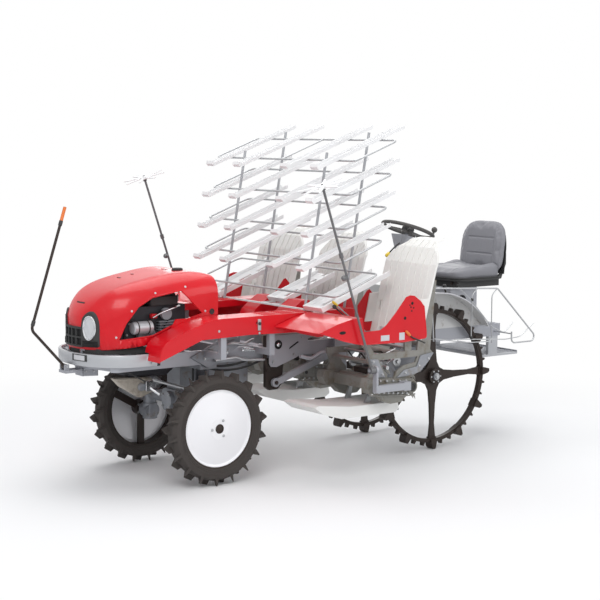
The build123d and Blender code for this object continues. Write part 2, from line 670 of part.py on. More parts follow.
def rack_rails():
    """White channel rails across the upper four levels, lips at their front ends."""
    rails = []
    for level in range(RACK_LEVELS - 1):
        y0, z0, y1, z1 = rack_level(level)
        slope = (z1 - z0) / (y1 - y0)
        lift = (RACK_ROD_R + SEAT_GAP) * hypot(1, slope)
        front, rear = y0 - 170, y0 + 465
        for x in RAIL_PLACES:
            def at(y, up):
                return y, z0 + slope * (y - y0 + BAR_AHEAD) + lift + up
            outline = [at(front - 14, 20), at(front, 0), at(rear, 0), at(rear, RAIL_WALL),
                       at(front + 8, RAIL_WALL), at(front - 8, 36)]
            pocket = [at(front - 2, 9), at(front + 6, 4), at(rear + 5, 4), at(rear + 5, 60), at(front - 1, 60)]
            half = RAIL_CHANNEL / 2
            rail = side_plate(outline, x - half, x + half) - side_plate(pocket, x - half + 4, x + half - 4)
            for start in (70, 250, 430):
                rail -= side_plate([at(front + start, -9), at(front + start + 130, -9),
                                    at(front + start + 130, 20), at(front + start, 20)], x - 9, x + 9)
            rails.append(rail)
    return rails


CHUTE_SLOPE = 0.38
CHUTE_HALF = 88.0
CHUTE_REAR = 1092.0
SIDE_CHUTE_X = 530.0
CHUTE_BAR = (630.0, 642.0)


def feed_chute(x, front, z0):
    """One slotted chute: a channel with a lip at its front."""
    def at(y, up):
        return y, z0 + CHUTE_SLOPE * (y - front) + up
    body = side_plate([at(front, 0), at(CHUTE_REAR, 0), at(CHUTE_REAR, 30), (front - 16, z0 + 26)],
                      x - CHUTE_HALF, x + CHUTE_HALF)
    pocket = [at(front + 6, 8), at(CHUTE_REAR + 5, 8), at(CHUTE_REAR + 5, 70), at(front - 4, 70)]
    body -= side_plate(pocket, x - CHUTE_HALF + 8, x + CHUTE_HALF - 8)
    for k in range(3):
        start = front + 60 + k * 140
        body -= side_plate([at(start, -20), at(start + 95, -20), at(start + 95, 20), at(start, 20)],
                           x - 14, x + 14)
    return body


def feed_chutes():
    """Three white chutes that run up to the tray platforms, on their cross bar."""
    y0, y1 = at_axle(CHUTE_BAR[0]), at_axle(CHUTE_BAR[1])
    pieces = [feed_chute(x, 600.0, 957.0) for x in (SIDE_CHUTE_X, -SIDE_CHUTE_X)]
    pieces.append(feed_chute(0.0, 720.0, 959.4))
    pieces.append(block(-466, 466, y0, y1, DECK_Z + SEAT_GAP, 958))
    for side in (-1, 1):
        pieces.append(block(side * 456 - 10, side * 456 + 10, y0, y1, 958 + SEAT_GAP, 968.1))
        pieces.append(block(side * 55 - 5, side * 55 + 5, y1 + SEAT_GAP, at_axle(745), 949, 959.1))
    return pieces


# Lift linkage and planting section

LINK_DY = LINK_LENGTH * cos(radians(LINK_REST_DEG))
LINK_DZ = LINK_LENGTH * sin(radians(LINK_REST_DEG))


def link_arm(pivot_z):
    """Flat bar with an eye at each end, between the rail and the shield plate."""
    y0, z0, y1, z1 = LIFT_PIVOT_Y, pivot_z, LIFT_PIVOT_Y + LINK_DY, pivot_z + LINK_DZ
    low, high = LINK_X - LINK_T / 2, LINK_X + LINK_T / 2
    bar = tube_x(low, high, y0, z0, LINK_EYE_R) + tube_x(low, high, y1, z1, LINK_EYE_R)
    turn = Plane(origin=(LINK_X, y0, z0), x_dir=(0, y1 - y0, z1 - z0), z_dir=(1, 0, 0))
    bar += turn * (Pos(LINK_LENGTH / 2, 0, 0) * Box(LINK_LENGTH, 38, LINK_T))
    for y, z in ((y0, z0), (y1, z1)):
        bar -= tube_x(low - 5, high + 5, y, z, LINK_PIN_R + RUN_GAP)
    return bar


def planting_beam():
    """Cross beam below the rails, with upright plates and pins for the four links."""
    body = block(-MARKER_X - 17, MARKER_X + 17, BEAM_Y - BEAM_SIZE / 2, BEAM_Y + BEAM_SIZE / 2,
                 BEAM_Z - BEAM_SIZE / 2, BEAM_Z + BEAM_SIZE / 2)
    y1 = LIFT_PIVOT_Y + LINK_DY
    for side in (-1, 1):
        low = LINK_X + LINK_T / 2 + 4
        plate = side_plate([(905, BEAM_Z - 25), (905, 885), (925, 905), (955, 905), (985, 885),
                            (1000, BEAM_Z - 25)], low, low + LINK_PLATE_T)
        body += plate if side > 0 else mirrored(plate)
        for z in (LIFT_PIVOT_Z + LINK_DZ, LOWER_PIVOT_Z + LINK_DZ):
            body += shaft((side * (LINK_X - LINK_T / 2 - 4), y1, z), (side * (low + 2), y1, z),
                          LINK_PIN_R)
        low, high = MARKER_X - 17, MARKER_X + 17
        bracket = block(low, high, MARKER_Y + 20, BEAM_Y + 25, BEAM_Z - 20, BEAM_Z + 20)
        bracket += block(low, high, MARKER_Y + 20, MARKER_Y + 34, BEAM_Z - 20, MARKER_Z)
        bracket += shaft((MARKER_X, MARKER_Y + 20, MARKER_Z), (MARKER_X, MARKER_Y + 34, MARKER_Z), 22)
        bracket += shaft((MARKER_X, MARKER_Y - 22, MARKER_Z), (MARKER_X, MARKER_Y + 22, MARKER_Z),
                         MARKER_PIN_R)
        body += bracket if side > 0 else mirrored(bracket)
    return body


ROTOR_Y = 1028.0
ROTOR_Z = 531.0
FRAME_X = 190.0
FRAME_T = 14.0
CASE_FALL = 0.0791


def case_top(distance):
    """Height of a gear case's sloping top edge."""
    return 600.0 - CASE_FALL * (distance - 706.0)


def gear_case(low, high, outward):
    """Side gear case with its belly, flange, raised panel and hub cap on the outward face."""
    body = side_plate([(712, case_top(712)), (1050, case_top(1050)), (1060, 500), (1031, 493), (722, 517),
                       (700, 560)], low, high)
    body += tube_x(low, high, at_axle(ROTOR_Y), ROTOR_Z, 41)
    body += side_plate([(775, 514), (830, 459), (880, 442), (960, 446), (1020, 494)], low + 6, high - 6)
    body += side_plate([(722, 522), (1040, 496), (1040, 487), (722, 513)], low - 5, high + 5)
    face = high if outward > 0 else low
    near, far = sorted((face - outward * 2, face + outward * 4))
    body += side_plate([(836, 584), (980, 572), (980, 525), (838, 538)], near, far)
    near, far = sorted((face - outward * 2, face + outward * 8))
    body += tube_x(near, far, at_axle(ROTOR_Y), ROTOR_Z, 27)
    body += tube_x(near, far, at_axle(761), 553, 17)
    return body


def planting_cases():
    """Two side gear cases and the cross housing of each double unit, cut for the beam."""
    beam = block(-1000, 1000, BEAM_Y - BEAM_SIZE / 2, BEAM_Y + BEAM_SIZE / 2,
                 BEAM_Z - BEAM_SIZE / 2, BEAM_Z + BEAM_SIZE / 2)
    units = []
    for number in (-1, 0, 1):
        x = number * UNIT_PITCH
        unit = block(x - CASE_X + 10, x + CASE_X - 10, at_axle(780), at_axle(900), 522, 582)
        unit += tube_x(x - CASE_X + 70, x + CASE_X - 70, at_axle(840), 553, 40)
        for side in (-1, 1):
            centre = x + side * (CASE_X - CASE_WIDTH / 2)
            unit += gear_case(centre - CASE_WIDTH / 2, centre + CASE_WIDTH / 2, side)
        units.append(unit - beam)
    return units


def planting_arm(inner, outer):
    """Rotary planter of one row: a long rotor with two arms, each with its planting fork."""
    low, high = sorted((inner, outer))
    centre = (low + high) / 2
    way = 1 if outer > inner else -1
    rotor = tube_x(low, high, at_axle(ROTOR_Y), ROTOR_Z + 55, 30)
    rotor += tube_x(low, high, at_axle(ROTOR_Y), ROTOR_Z - 55, 30)
    rotor += block(low, high, at_axle(ROTOR_Y - 28), at_axle(ROTOR_Y + 28), ROTOR_Z - 55, ROTOR_Z + 55)
    spindle = sorted((outer - way, way * (CASE_X - CASE_WIDTH - SEAT_GAP) + (outer - way * 152)))
    rotor += tube_x(*spindle, at_axle(ROTOR_Y), ROTOR_Z, 14)
    for rise in (55, -55):
        z = ROTOR_Z + rise
        arm_low, arm_high = sorted((inner - way * 26, inner + way * 2))
        arm = [(1006, z + 16), (1050, z + 26), (1108, z + 12), (1118, z - 6), (1060, z - 16), (1006, z - 14)]
        rotor += side_plate(arm, arm_low, arm_high)
        prong = [(1104, z + 14), (1150, z - 22), (1156, z - 46), (1143, z - 30), (1098, z + 2)]
        for offset in (3, 21):
            edge = min(inner - way * offset, inner - way * (offset + 3))
            rotor += side_plate(prong, edge, edge + 3)
    return rotor


def planting_arms():
    """The six rows' rotary planters, inside their gear cases."""
    arms = []
    for number in (-1, 0, 1):
        x = number * UNIT_PITCH
        for side in (-1, 1):
            arm = planting_arm(128, 152)
            arms.append(Pos(x, 0, 0) * (arm if side > 0 else mirrored(arm)))
    return arms


def unit_shafts():
    """Round cross shafts between each unit's side castings."""
    half = FRAME_X - FRAME_T / 2 - SEAT_GAP
    return [tube_x(number * UNIT_PITCH - half, number * UNIT_PITCH + half, at_axle(y), z, radius)
            for number in (-1, 0, 1)
            for y, z, radius in ((790, 680, 12), (1000, 712, 20), (1150, 760, 14))]


def unit_frame(number, side):
    """One side casting: foot on the gear case, braces, and the post behind the tray platform."""
    x = number * UNIT_PITCH + side * FRAME_X
    low, high = x - FRAME_T / 2, x + FRAME_T / 2

    def foot(distance):
        return distance, case_top(distance) + SEAT_GAP
    parts = [
        [foot(740), foot(880), (880, 610), (850, 640), (812, 716), (740, 716), (760, 650)],
        [foot(930), foot(1050), (1121, 604), (1179, 653), (1225, 707), (1201, 730), (1125, 730),
         (1090, 660), (1000, 648), (950, 620)],
        [(740, 694), (1200, 694), (1200, 730), (740, 730)],
        [(1100, 694), (1201, 709), (1215, 860), (1245, 1130), (1201.5, 1130), (1162.6, 992), (1110.6, 792)],
    ]
    if number == 0:
        parts.append([(745, 700), (785, 700), (785, 979.7), (745, 979.7)])
    elif number == side:
        parts.append([(745, 730), (790, 730), (690, 860), (650, 944.7), (600, 944.7), (640, 860)])
        parts.append([(1010, 700), (1060, 700), (1060, 846), (1010, 846)])
    else:
        parts.append([(965, 700), (1000, 700), (1000, 799.7), (965, 799.7)])
    body = side_plate(parts[0], low, high)
    for outline in parts[1:]:
        body += side_plate(outline, low, high)
    if number == side and number:
        arm = block(abs(x), UNIT_PITCH + CASE_X, at_axle(1015), at_axle(1055), 838, 846)
        body += arm if side > 0 else mirrored(arm)
    return body


def unit_frames():
    """Side castings of each unit, from its gear cases up to the platform and cowl."""
    return [unit_frame(number, side) for number in (-1, 0, 1) for side in (-1, 1)]


SHIELD_PROFILE = ((1098, 800), (1150, 1000), (1212, 1220), (1262, 1310), (1318, 1352), (1380, 1362))
SHIELD_TOP = ((1235, 228), (1270, 206), (1305, 168), (1335, 128), (1366, 96))


def shield_outline(x, z_low):
    """Front view of a tray platform: straight sides and rounded shoulders."""
    half = UNIT_SHIELD_WIDTH / 2
    right = [(x + half, z_low)] + [(x + w, z) for z, w in SHIELD_TOP]
    left = [(2 * x - px, z) for px, z in reversed(right)]
    face = make_face(Polyline(*right, *left, close=True))
    return extrude(Plane.XZ * face, 1500, both=True)


def tray_platforms():
    """Off-white tray platforms: a curved sheet with ribs up its front face."""
    shields = []
    back = [(y + 12, z - 8) for y, z in reversed(SHIELD_PROFILE)]
    half = UNIT_SHIELD_WIDTH / 2
    front = [(y - 5, z + 1.5) for y, z in reversed(SHIELD_PROFILE)]
    for number in (-1, 0, 1):
        x = number * UNIT_PITCH
        sheet = side_plate(list(SHIELD_PROFILE) + back, x - half, x + half)
        for row in range(-3, 4):
            sheet += side_plate(list(SHIELD_PROFILE) + front, x + row * 56 - 5, x + row * 56 + 5)
        sheet &= shield_outline(x, 700)
        for side in (-1, 1):
            edge = x + side * (half - 4)
            wall = [(1052, 858), (1090, 1027), (1158, 1030), (1116, 858)]
            sheet += side_plate(wall, edge - 4, edge + 4)
            slot = x + side * (half - 42)
            sheet -= side_plate([(1050, 930), (1190, 930), (1190, 985), (1050, 985)], slot - 5, slot + 5)
        shields.append(sheet)
    return shields


COVER_NOSE = ((355, 884), (482, 926), (590, 950), (660, 950))
COVER_BELLY = ((680, 872), (700, 800), (655, 800), (535, 828), (465, 851))
CHEEK = ((600, 860), (620, 905), (680, 950), (735, 985), (790, 985))
FIN = ((960, 800), (1004, 876), (1004, 958), (1078, 1045), (1092, 1050), (1120, 1020), (1131, 833), (1100, 800))


def side_cowl():
    """Left unit's red front cowl, clear of the footboard, and the fin on its inner side."""
    low_x, high_x = DECK_OUT + 8, UNIT_PITCH + CASE_X
    under = [(y, z - SKIN) for y, z in reversed(COVER_NOSE)]
    cowl = side_plate(list(COVER_NOSE) + under, low_x, high_x)
    for x in (low_x, high_x - SKIN):
        cowl += side_plate(list(COVER_NOSE) + list(COVER_BELLY), x, x + SKIN)
    inner = UNIT_PITCH - UNIT_SHIELD_WIDTH / 2 - SEAT_GAP
    fin = side_plate(FIN, inner - SKIN, inner)
    fin += block(inner - SKIN, UNIT_PITCH - FRAME_X + FRAME_T / 2, at_axle(965), at_axle(1000), 800, 806)
    return [cowl, fin]


def middle_cowl():
    """Middle unit's two red cheeks beside its chute, each wall ending in a fin."""
    outer = CASE_X
    inner = CHUTE_HALF + 6
    under = [(y, z - SKIN) for y, z in reversed(CHEEK)]
    cheek = side_plate(list(CHEEK) + under, inner, outer)
    cheek += side_plate(list(CHEEK) + [(800, 880), (640, 830)], inner, inner + SKIN)
    cheek += side_plate(list(CHEEK) + [(800, 880), (950, 870)] + list(FIN[1:]) + [(700, 800), (640, 830)],
                        outer - SKIN, outer)
    return pair(cheek)


def unit_cowls():
    """Red cowls and fins of the three units."""
    left = side_cowl()
    return left + [mirrored(piece) for piece in left] + middle_cowl()


def side_cover():
    """Left red side cover with its pointed nose and rear fin."""
    outline = [*COVER_NOSE, (667, 871), (792, 873), (836, 898), (903, 963), (967, 1034), (982, 1050),
               (1010, 1058), (1038, 1054), (1085, 1022), (1111, 992), (1131, 833), (1130, 805),
               (962, 794), (655, 800), (535, 828), (465, 851)]
    inner = UNIT_PITCH + CASE_X + SEAT_GAP
    return side_plate(outline, inner, inner + 8)


def floats():
    """Hull-shaped floats hung below the units."""
    hulls = []
    for x, front, rear in ((660.0, 400.0, 1010.0), (0.0, 480.0, 1010.0), (-660.0, 400.0, 1010.0)):
        outline = [(front, 452), (front + 60, 410), (front + 190, FLOAT_LOW), (rear - 30, FLOAT_LOW),
                   (rear, 392), (rear - 10, 436), (front + 260, 436), (front + 30, 462)]
        hull = side_plate(outline, x - 150, x + 150)
        hulls.append(fillet(hull.edges().filter_by(Axis.Z), 40) if hull.edges().filter_by(Axis.Z) else hull)
    return hulls


def float_links():
    """Struts from the floats up to the gear cases."""
    links = []
    for x in (-660.0, 0.0, 660.0):
        for side in (-1, 1):
            centre = x + side * 90
            links.append(side_plate([(800, 436.3), (840, 436.3), (850, 512.7), (830, 512.7)],
                                    centre - 8, centre + 8))
    return links


MARKER_DIR = (0.0, -sin(radians(MARKER_LEAN)), cos(radians(MARKER_LEAN)))


def on_marker(distance):
    """Point this far up the left marker's rod from its pivot."""
    return (MARKER_X, MARKER_Y + MARKER_DIR[1] * distance, MARKER_Z + MARKER_DIR[2] * distance)


def marker_rod():
    """Left marker rod with its pivot eye, collar and ball knob."""
    rod = shaft(on_marker(10), on_marker(MARKER_LENGTH), 7)
    eye = shaft((MARKER_X, MARKER_Y - 17, MARKER_Z), (MARKER_X, MARKER_Y + 17, MARKER_Z), 20)
    collar = shaft(on_marker(680), on_marker(706), 12)
    knob = Pos(*on_marker(560)) * Pos(-4, -19, 0) * Sphere(16)
    stop = shaft(on_marker(MARKER_LENGTH - 36), on_marker(MARKER_LENGTH - 26), 12)
    bore = shaft((MARKER_X, MARKER_Y - 40, MARKER_Z), (MARKER_X, MARKER_Y + 40, MARKER_Z),
                 MARKER_PIN_R + RUN_GAP)
    return rod + eye + collar + knob + stop - bore


def marker_wheel():
    """Left star wheel that turns on the top of the rod."""
    plane = Plane(origin=on_marker(MARKER_LENGTH - 12), z_dir=MARKER_DIR, x_dir=(1, 0, 0))
    star = Cylinder(34, 16)
    for index in range(8):
        ray = make_face(Polyline((20, -14), (MARKER_WHEEL_R, -4), (MARKER_WHEEL_R, 4), (20, 14),
                                 close=True))
        star += Rot(0, 0, index * 45) * Pos(0, 0, -3) * extrude(ray, 6)
    star -= Cylinder(7 + RUN_GAP, 60)
    return plane * star


def wire_carrier():
    """Bent-wire carrier beside the left rear wheel."""
    x = 452.0
    loop = bent_rod([(x, at_rear(-93), 700), (x, at_rear(-118), 1030), (x, at_rear(442), 1000),
                     (x, at_rear(817), 640), (x, at_rear(572), 640),
                     (x, at_rear(572), 714)], 30, 5)
    rear_arm = tube_x(RAIL_OUT + SEAT_GAP, x, at_rear(572), 700, 4)
    top = REAR_WHEEL_R + REAR_WHEEL_R + 62 + SEAT_GAP
    front_arm = bent_rod([(x, REAR_AXLE_Y, 1022), (340, REAR_AXLE_Y, 1022), (340, REAR_AXLE_Y, top)], 12, 4)
    return loop + rear_arm + front_arm


def save(name, shape):
    """Write one named piece, whose solids may be one or several."""
    pieces = shape if isinstance(shape, (list, tuple, ShapeList)) else [shape]
    solids = [solid for piece in pieces for solid in piece.solids()]
    export_step(Compound(solids), os.path.join("parts", name + ".step"))


def main():
    """Make each piece at its place on the machine and write it."""
    os.makedirs("parts", exist_ok=True)
    front = Pos(FRONT_WHEEL_X, FRONT_AXLE_Y, FRONT_WHEEL_R)
    rear = Pos(REAR_WHEEL_X, REAR_AXLE_Y, REAR_WHEEL_R)
    sided = {
        "front_tyre": front * front_tyre(),
        "front_rim": front * front_rim(),
        "front_disc": front * front_disc(),
        "rear_wheel": rear * rear_wheel(),
        "knuckle": knuckle(),
        "marker_rod": marker_rod(),
        "marker_wheel": marker_wheel(),
    }
    for name, shape in sided.items():
        save(name + "_left", shape)
        save(name + "_right", mirrored(shape))
    both = {
        "headlamp_bezels": headlamp_bezel(), "headlamps": headlamp(), "footboards": footboard(),
        "side_covers": side_cover(), "rear_fenders": rear_fender(),
        "lift_arms": link_arm(LIFT_PIVOT_Z), "link_shields": link_shield(),
        "lower_links": link_arm(LOWER_PIVOT_Z),
    }
    for name, shape in both.items():
        save(name, pair(shape))
    save("link_brackets", [half for piece in link_bracket() for half in pair(piece)])
    single = {
        "front_axle": front_axle(), "tie_rod": tie_rod(), "main_frame": main_frame(),
        "gearbox": gearbox(), "rear_axle": rear_axle(),
        "engine": engine(), "bumper": bumper(), "bonnet": bonnet(),
        "front_pole": main_pole(), "step_plate": step_plate(), "seat_post": seat_post(),
        "seat_base": seat_base(), "seat": seat(), "steering_column": steering_column(),
        "steering_wheel": steering_wheel(), "rack_posts": rack_posts(), "rack_loops": rack_loops(),
        "rack_rails": rack_rails(), "feed_chutes": feed_chutes(), "planting_beam": planting_beam(),
        "planting_cases": planting_cases(), "unit_frames": unit_frames(),
        "tray_platforms": tray_platforms(), "unit_cowls": unit_cowls(), "floats": floats(),
        "planting_arms": planting_arms(), "unit_shafts": unit_shafts(),
        "float_links": float_links(), "wire_carrier": wire_carrier(),
    }
    for name, shape in single.items():
        save(name, shape)


main()
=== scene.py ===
"""Looks of a riding rice transplanter, built round its fixed frame.

Metres, +X to the machine's left, +Y to its rear, +Z up. Each sub-assembly is a
class with its sizes as fields; each finish is a dataclass; surfaces are whole
numpy arrays.
"""

import json
import logging
from dataclasses import dataclass
from enum import Enum
from functools import partial
from math import cos, pi, radians, sin
from typing import Sequence

import bmesh
import bpy
import numpy as np
from mathutils import Matrix, Vector
from mathutils.bvhtree import BVHTree

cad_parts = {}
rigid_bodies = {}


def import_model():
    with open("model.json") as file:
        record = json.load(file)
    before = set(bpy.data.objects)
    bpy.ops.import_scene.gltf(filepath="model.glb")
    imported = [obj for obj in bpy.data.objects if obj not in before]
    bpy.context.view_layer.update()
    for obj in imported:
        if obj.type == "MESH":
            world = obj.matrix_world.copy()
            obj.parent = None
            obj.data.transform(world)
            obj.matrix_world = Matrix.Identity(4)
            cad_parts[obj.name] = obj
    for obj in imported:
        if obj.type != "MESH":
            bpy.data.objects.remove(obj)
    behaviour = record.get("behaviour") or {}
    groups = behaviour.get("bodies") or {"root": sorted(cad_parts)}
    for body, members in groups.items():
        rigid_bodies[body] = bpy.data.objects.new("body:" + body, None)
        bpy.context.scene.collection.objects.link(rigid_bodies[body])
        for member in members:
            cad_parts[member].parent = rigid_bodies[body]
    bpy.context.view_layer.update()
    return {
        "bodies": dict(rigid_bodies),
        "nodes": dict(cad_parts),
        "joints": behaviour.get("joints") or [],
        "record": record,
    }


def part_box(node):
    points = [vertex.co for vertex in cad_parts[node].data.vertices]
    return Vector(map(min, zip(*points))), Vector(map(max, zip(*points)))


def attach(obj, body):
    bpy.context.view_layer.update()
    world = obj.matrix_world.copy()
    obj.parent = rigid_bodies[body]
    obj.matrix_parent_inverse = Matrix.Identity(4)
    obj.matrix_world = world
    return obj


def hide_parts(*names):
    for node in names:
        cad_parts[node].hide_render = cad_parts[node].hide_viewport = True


LOG = logging.getLogger("transplanter")
FRONT_AXLE_Y = -0.780
MM = 1000.0
MERGE_WITHIN = 2e-6
SHARP_FROM = radians(40.0)
BEVEL_FROM = radians(38.0)
BEVELLED_SHARP_FROM = radians(60.0)

Colour = tuple[float, float, float]
Point = Sequence[float]
Array = np.ndarray
Socket = bpy.types.NodeSocket
Inputs = dict[str | int, Socket | float | tuple[float, ...]]


# Finishes


def wire(tree: bpy.types.NodeTree, target: bpy.types.Node, inputs: Inputs) -> bpy.types.Node:
    """Set some of a node's inputs: a socket is linked there, and a value is written there.

    Args:
        tree: the nodes.
        target: the node whose inputs are set.
        inputs: a socket or a value for each input's name or number.

    Returns:
        The target.
    """
    for name, value in inputs.items():
        if isinstance(value, Socket):
            tree.links.new(value, target.inputs[name])
        else:
            target.inputs[name].default_value = value
    return target


def node(tree: bpy.types.NodeTree, kind: str, inputs: Inputs, operation: str = "") -> bpy.types.Node:
    """Add a shader node.

    Args:
        tree: the nodes that it joins.
        kind: the last part of its type's name.
        inputs: a socket or a value for each input's name or number.
        operation: what a maths node works out.

    Returns:
        The node.
    """
    made = tree.nodes.new(f"ShaderNode{kind}")
    if operation:
        made.operation = operation
    return wire(tree, made, inputs)


class Grain(Enum):
    """Kinds of fine surface relief."""

    PEEL = "orange peel of sprayed paint"
    CAST = "sand-cast pits"
    RUBBER = "moulded rubber"
    MOULDED = "moulded plastic"
    VINYL = "embossed vinyl"
    DRAWN = "drawn wire"


@dataclass(frozen=True)
class Finish:
    """One surface finish, made as a node material on object coordinates.

    The colour drifts between two tones on a broad noise, dirt gathers where
    a second noise is high, and a fine grain gives relief and roughness.
    """

    name: str
    colour: Colour
    tone: Colour
    grain: Grain = Grain.PEEL
    roughness: float = 0.35
    metallic: float = 0.0
    coat: float = 0.0
    relief: float = 0.05
    dirt: Colour = (0.20, 0.16, 0.12)
    dirt_share: float = 0.0
    drift_scale: float = 3.0
    slot: str = ""
    specular: float = 0.5

    def grain_texture(self, tree: bpy.types.NodeTree, vector: Socket) -> Socket:
        """Height of the fine relief.

        Args:
            tree: the material's nodes.
            vector: object coordinates.

        Returns:
            The socket that carries the height.
        """
        scales = {Grain.PEEL: 900.0, Grain.CAST: 420.0, Grain.RUBBER: 260.0, Grain.MOULDED: 650.0,
                  Grain.VINYL: 620.0, Grain.DRAWN: 800.0}
        if self.grain in (Grain.VINYL, Grain.CAST):
            cells = node(tree, "TexVoronoi", {})
            cells.feature = "DISTANCE_TO_EDGE" if self.grain is Grain.VINYL else "SMOOTH_F1"
            wire(tree, cells, {"Vector": vector, "Scale": scales[self.grain]})
            return cells.outputs["Distance"]
        noise = node(tree, "TexNoise", {"Vector": vector, "Scale": scales[self.grain], "Detail": 3.0})
        return noise.outputs["Fac"]

    def material(self) -> bpy.types.Material:
        """The finish as a material, made once.

        Returns:
            The node material.
        """
        made = bpy.data.materials.get(self.name)
        if made:
            return made
        made = bpy.data.materials.new(self.name)
        made.use_nodes = True
        tree = made.node_tree
        coords = node(tree, "TexCoord", {}).outputs["Object"]
        drift = node(tree, "TexNoise", {"Vector": coords, "Scale": self.drift_scale, "Detail": 5.0})
        ramp = node(tree, "ValToRGB", {"Fac": drift.outputs["Fac"]})
        first, last = ramp.color_ramp.elements
        first.position, last.position = 0.35, 0.70
        first.color, last.color = (*self.colour, 1.0), (*self.tone, 1.0)
        colour = ramp.outputs["Color"]
        if self.dirt_share:
            colour = self.with_dirt(tree, coords, colour)
        spread = node(tree, "MapRange", {"Value": drift.outputs["Fac"],
                                         "To Min": max(0.03, self.roughness - 0.06),
                                         "To Max": min(1.0, self.roughness + 0.08)})
        bump = node(tree, "Bump", {"Height": self.grain_texture(tree, coords), "Strength": self.relief,
                                   "Distance": 0.0012})
        wire(tree, tree.nodes["Principled BSDF"], {
            "Base Color": colour, "Roughness": spread.outputs["Result"], "Normal": bump.outputs["Normal"],
            "Metallic": self.metallic, "Specular IOR Level": self.specular, "Coat Weight": self.coat,
            "Coat Roughness": 0.06})
        return made

    def with_dirt(self, tree: bpy.types.NodeTree, coords: Socket, colour: Socket) -> Socket:
        """Mix patches of dried dirt over a colour; a greater share makes them wider.

        Args:
            tree: the material's nodes.
            coords: object coordinates.
            colour: the clean colour.

        Returns:
            The dirty colour.
        """
        patches = node(tree, "TexNoise", {"Vector": coords, "Scale": 14.0, "Detail": 8.0, "Roughness": 0.65})
        edge = node(tree, "MapRange", {"Value": patches.outputs["Fac"], "From Max": 0.72,
                                       "From Min": 0.62 - self.dirt_share * 0.35})
        mix = node(tree, "MixRGB", {"Fac": edge.outputs["Result"], "Color1": colour,
                                    "Color2": (*self.dirt, 1.0)})
        return mix.outputs["Color"]



RED = Finish("red_enamel", (0.66, 0.004, 0.012), (0.58, 0.003, 0.010), Grain.PEEL, 0.30, coat=0.25,
             relief=0.03, slot="red_paint", specular=0.3)
SILVER = Finish("silver_enamel", (0.46, 0.47, 0.49), (0.42, 0.43, 0.45), Grain.PEEL, 0.36, 0.25, coat=0.3,
                relief=0.04, slot="silver_paint")
FRAME_GREY = Finish("frame_grey", (0.34, 0.35, 0.375), (0.29, 0.30, 0.33), Grain.PEEL, 0.42, 0.15,
                    relief=0.08, dirt_share=0.12, slot="frame_grey")
FENDER = Finish("fender_paint", (0.60, 0.60, 0.595), (0.54, 0.54, 0.54), Grain.PEEL, 0.36, coat=0.2,
                relief=0.05, dirt_share=0.08)
DIRTY_CAST = Finish("dirty_casting", (0.215, 0.210, 0.190), (0.300, 0.295, 0.275), Grain.CAST, 0.55, 0.25,
                    relief=0.5, dirt=(0.16, 0.125, 0.085), dirt_share=0.30)
CASTING = Finish("grey_casting", (0.30, 0.31, 0.335), (0.24, 0.25, 0.275), Grain.CAST, 0.46, 0.35,
                 relief=0.35, dirt_share=0.2, drift_scale=9.0, slot="cast_alloy")
DARK_STEEL = Finish("brown_black_paint", (0.030, 0.022, 0.019), (0.042, 0.030, 0.025), Grain.PEEL, 0.40,
                    relief=0.10, slot="dark_steel", specular=0.25)
WHEEL_WHITE = Finish("wheel_white", (0.74, 0.74, 0.77), (0.70, 0.70, 0.74), Grain.PEEL, 0.30, coat=0.35,
                     relief=0.03, slot="wheel_white")
TYRE = Finish("tyre_rubber", (0.026, 0.022, 0.021), (0.038, 0.032, 0.029), Grain.RUBBER, 0.62, relief=0.30,
              dirt=(0.10, 0.085, 0.07), dirt_share=0.25, drift_scale=12.0, slot="tyre_rubber", specular=0.25)
RACK_WHITE = Finish("rack_white", (0.86, 0.86, 0.86), (0.82, 0.82, 0.82), Grain.MOULDED, 0.42, relief=0.06,
                    slot="white_plastic")
SHIELD_WHITE = Finish("platform_white", (0.73, 0.72, 0.69), (0.67, 0.66, 0.63), Grain.MOULDED, 0.40,
                      relief=0.08, slot="platform_white")
# Black plastic finish; it also paints shade into the bonnet's latch holes and slots and into the footboard
# latches' holes.
BLACK = Finish("black_plastic", (0.018, 0.018, 0.018), (0.026, 0.026, 0.027), Grain.MOULDED, 0.38,
               relief=0.15, slot="black_plastic", specular=0.25)
ENGINE = Finish("engine_black", (0.030, 0.030, 0.032), (0.050, 0.050, 0.052), Grain.CAST, 0.50, 0.3,
                relief=0.4, drift_scale=14.0, slot="engine_black", specular=0.25)
ZINC = Finish("zinc_rod", (0.50, 0.51, 0.52), (0.42, 0.43, 0.44), Grain.DRAWN, 0.32, 0.6, relief=0.10,
              slot="zinc_rod")
VINYL = Finish("seat_vinyl", (0.115, 0.120, 0.135), (0.095, 0.100, 0.114), Grain.VINYL, 0.46, relief=0.25,
               slot="seat_vinyl")
FLOAT = Finish("float_plastic", (0.66, 0.66, 0.64), (0.58, 0.57, 0.54), Grain.MOULDED, 0.45, relief=0.10,
               dirt=(0.30, 0.20, 0.12), dirt_share=0.35, slot="float_plastic")
POST_GREY = Finish("post_grey", (0.40, 0.41, 0.43), (0.36, 0.37, 0.39), Grain.PEEL, 0.36, 0.2, coat=0.2,
                   relief=0.05, slot="frame_grey")
ROD_GREY = Finish("rod_grey", (0.13, 0.13, 0.135), (0.17, 0.17, 0.175), Grain.DRAWN, 0.40, 0.35, relief=0.08,
                  slot="dark_steel")
PALE_PLASTIC = Finish("pale_plastic", (0.60, 0.60, 0.62), (0.55, 0.55, 0.57), Grain.MOULDED, 0.35,
                      relief=0.05, slot="white_plastic")
BEIGE = Finish("beige_casting", (0.46, 0.42, 0.36), (0.38, 0.34, 0.29), Grain.CAST, 0.5, 0.15, relief=0.25,
               dirt_share=0.25, drift_scale=10.0, slot="cast_alloy")
# Near-black finish: the dial's and louvres' own black, and also painted shade in the grille's openings and in
# the holes and slots of the covers and shields.
DEEP_BLACK_AND_SHADE = Finish("deep_black_and_shade", (0.007, 0.007, 0.008), (0.010, 0.010, 0.011), Grain.MOULDED, 0.55,
                    relief=0.1, slot="black_plastic", specular=0.25)
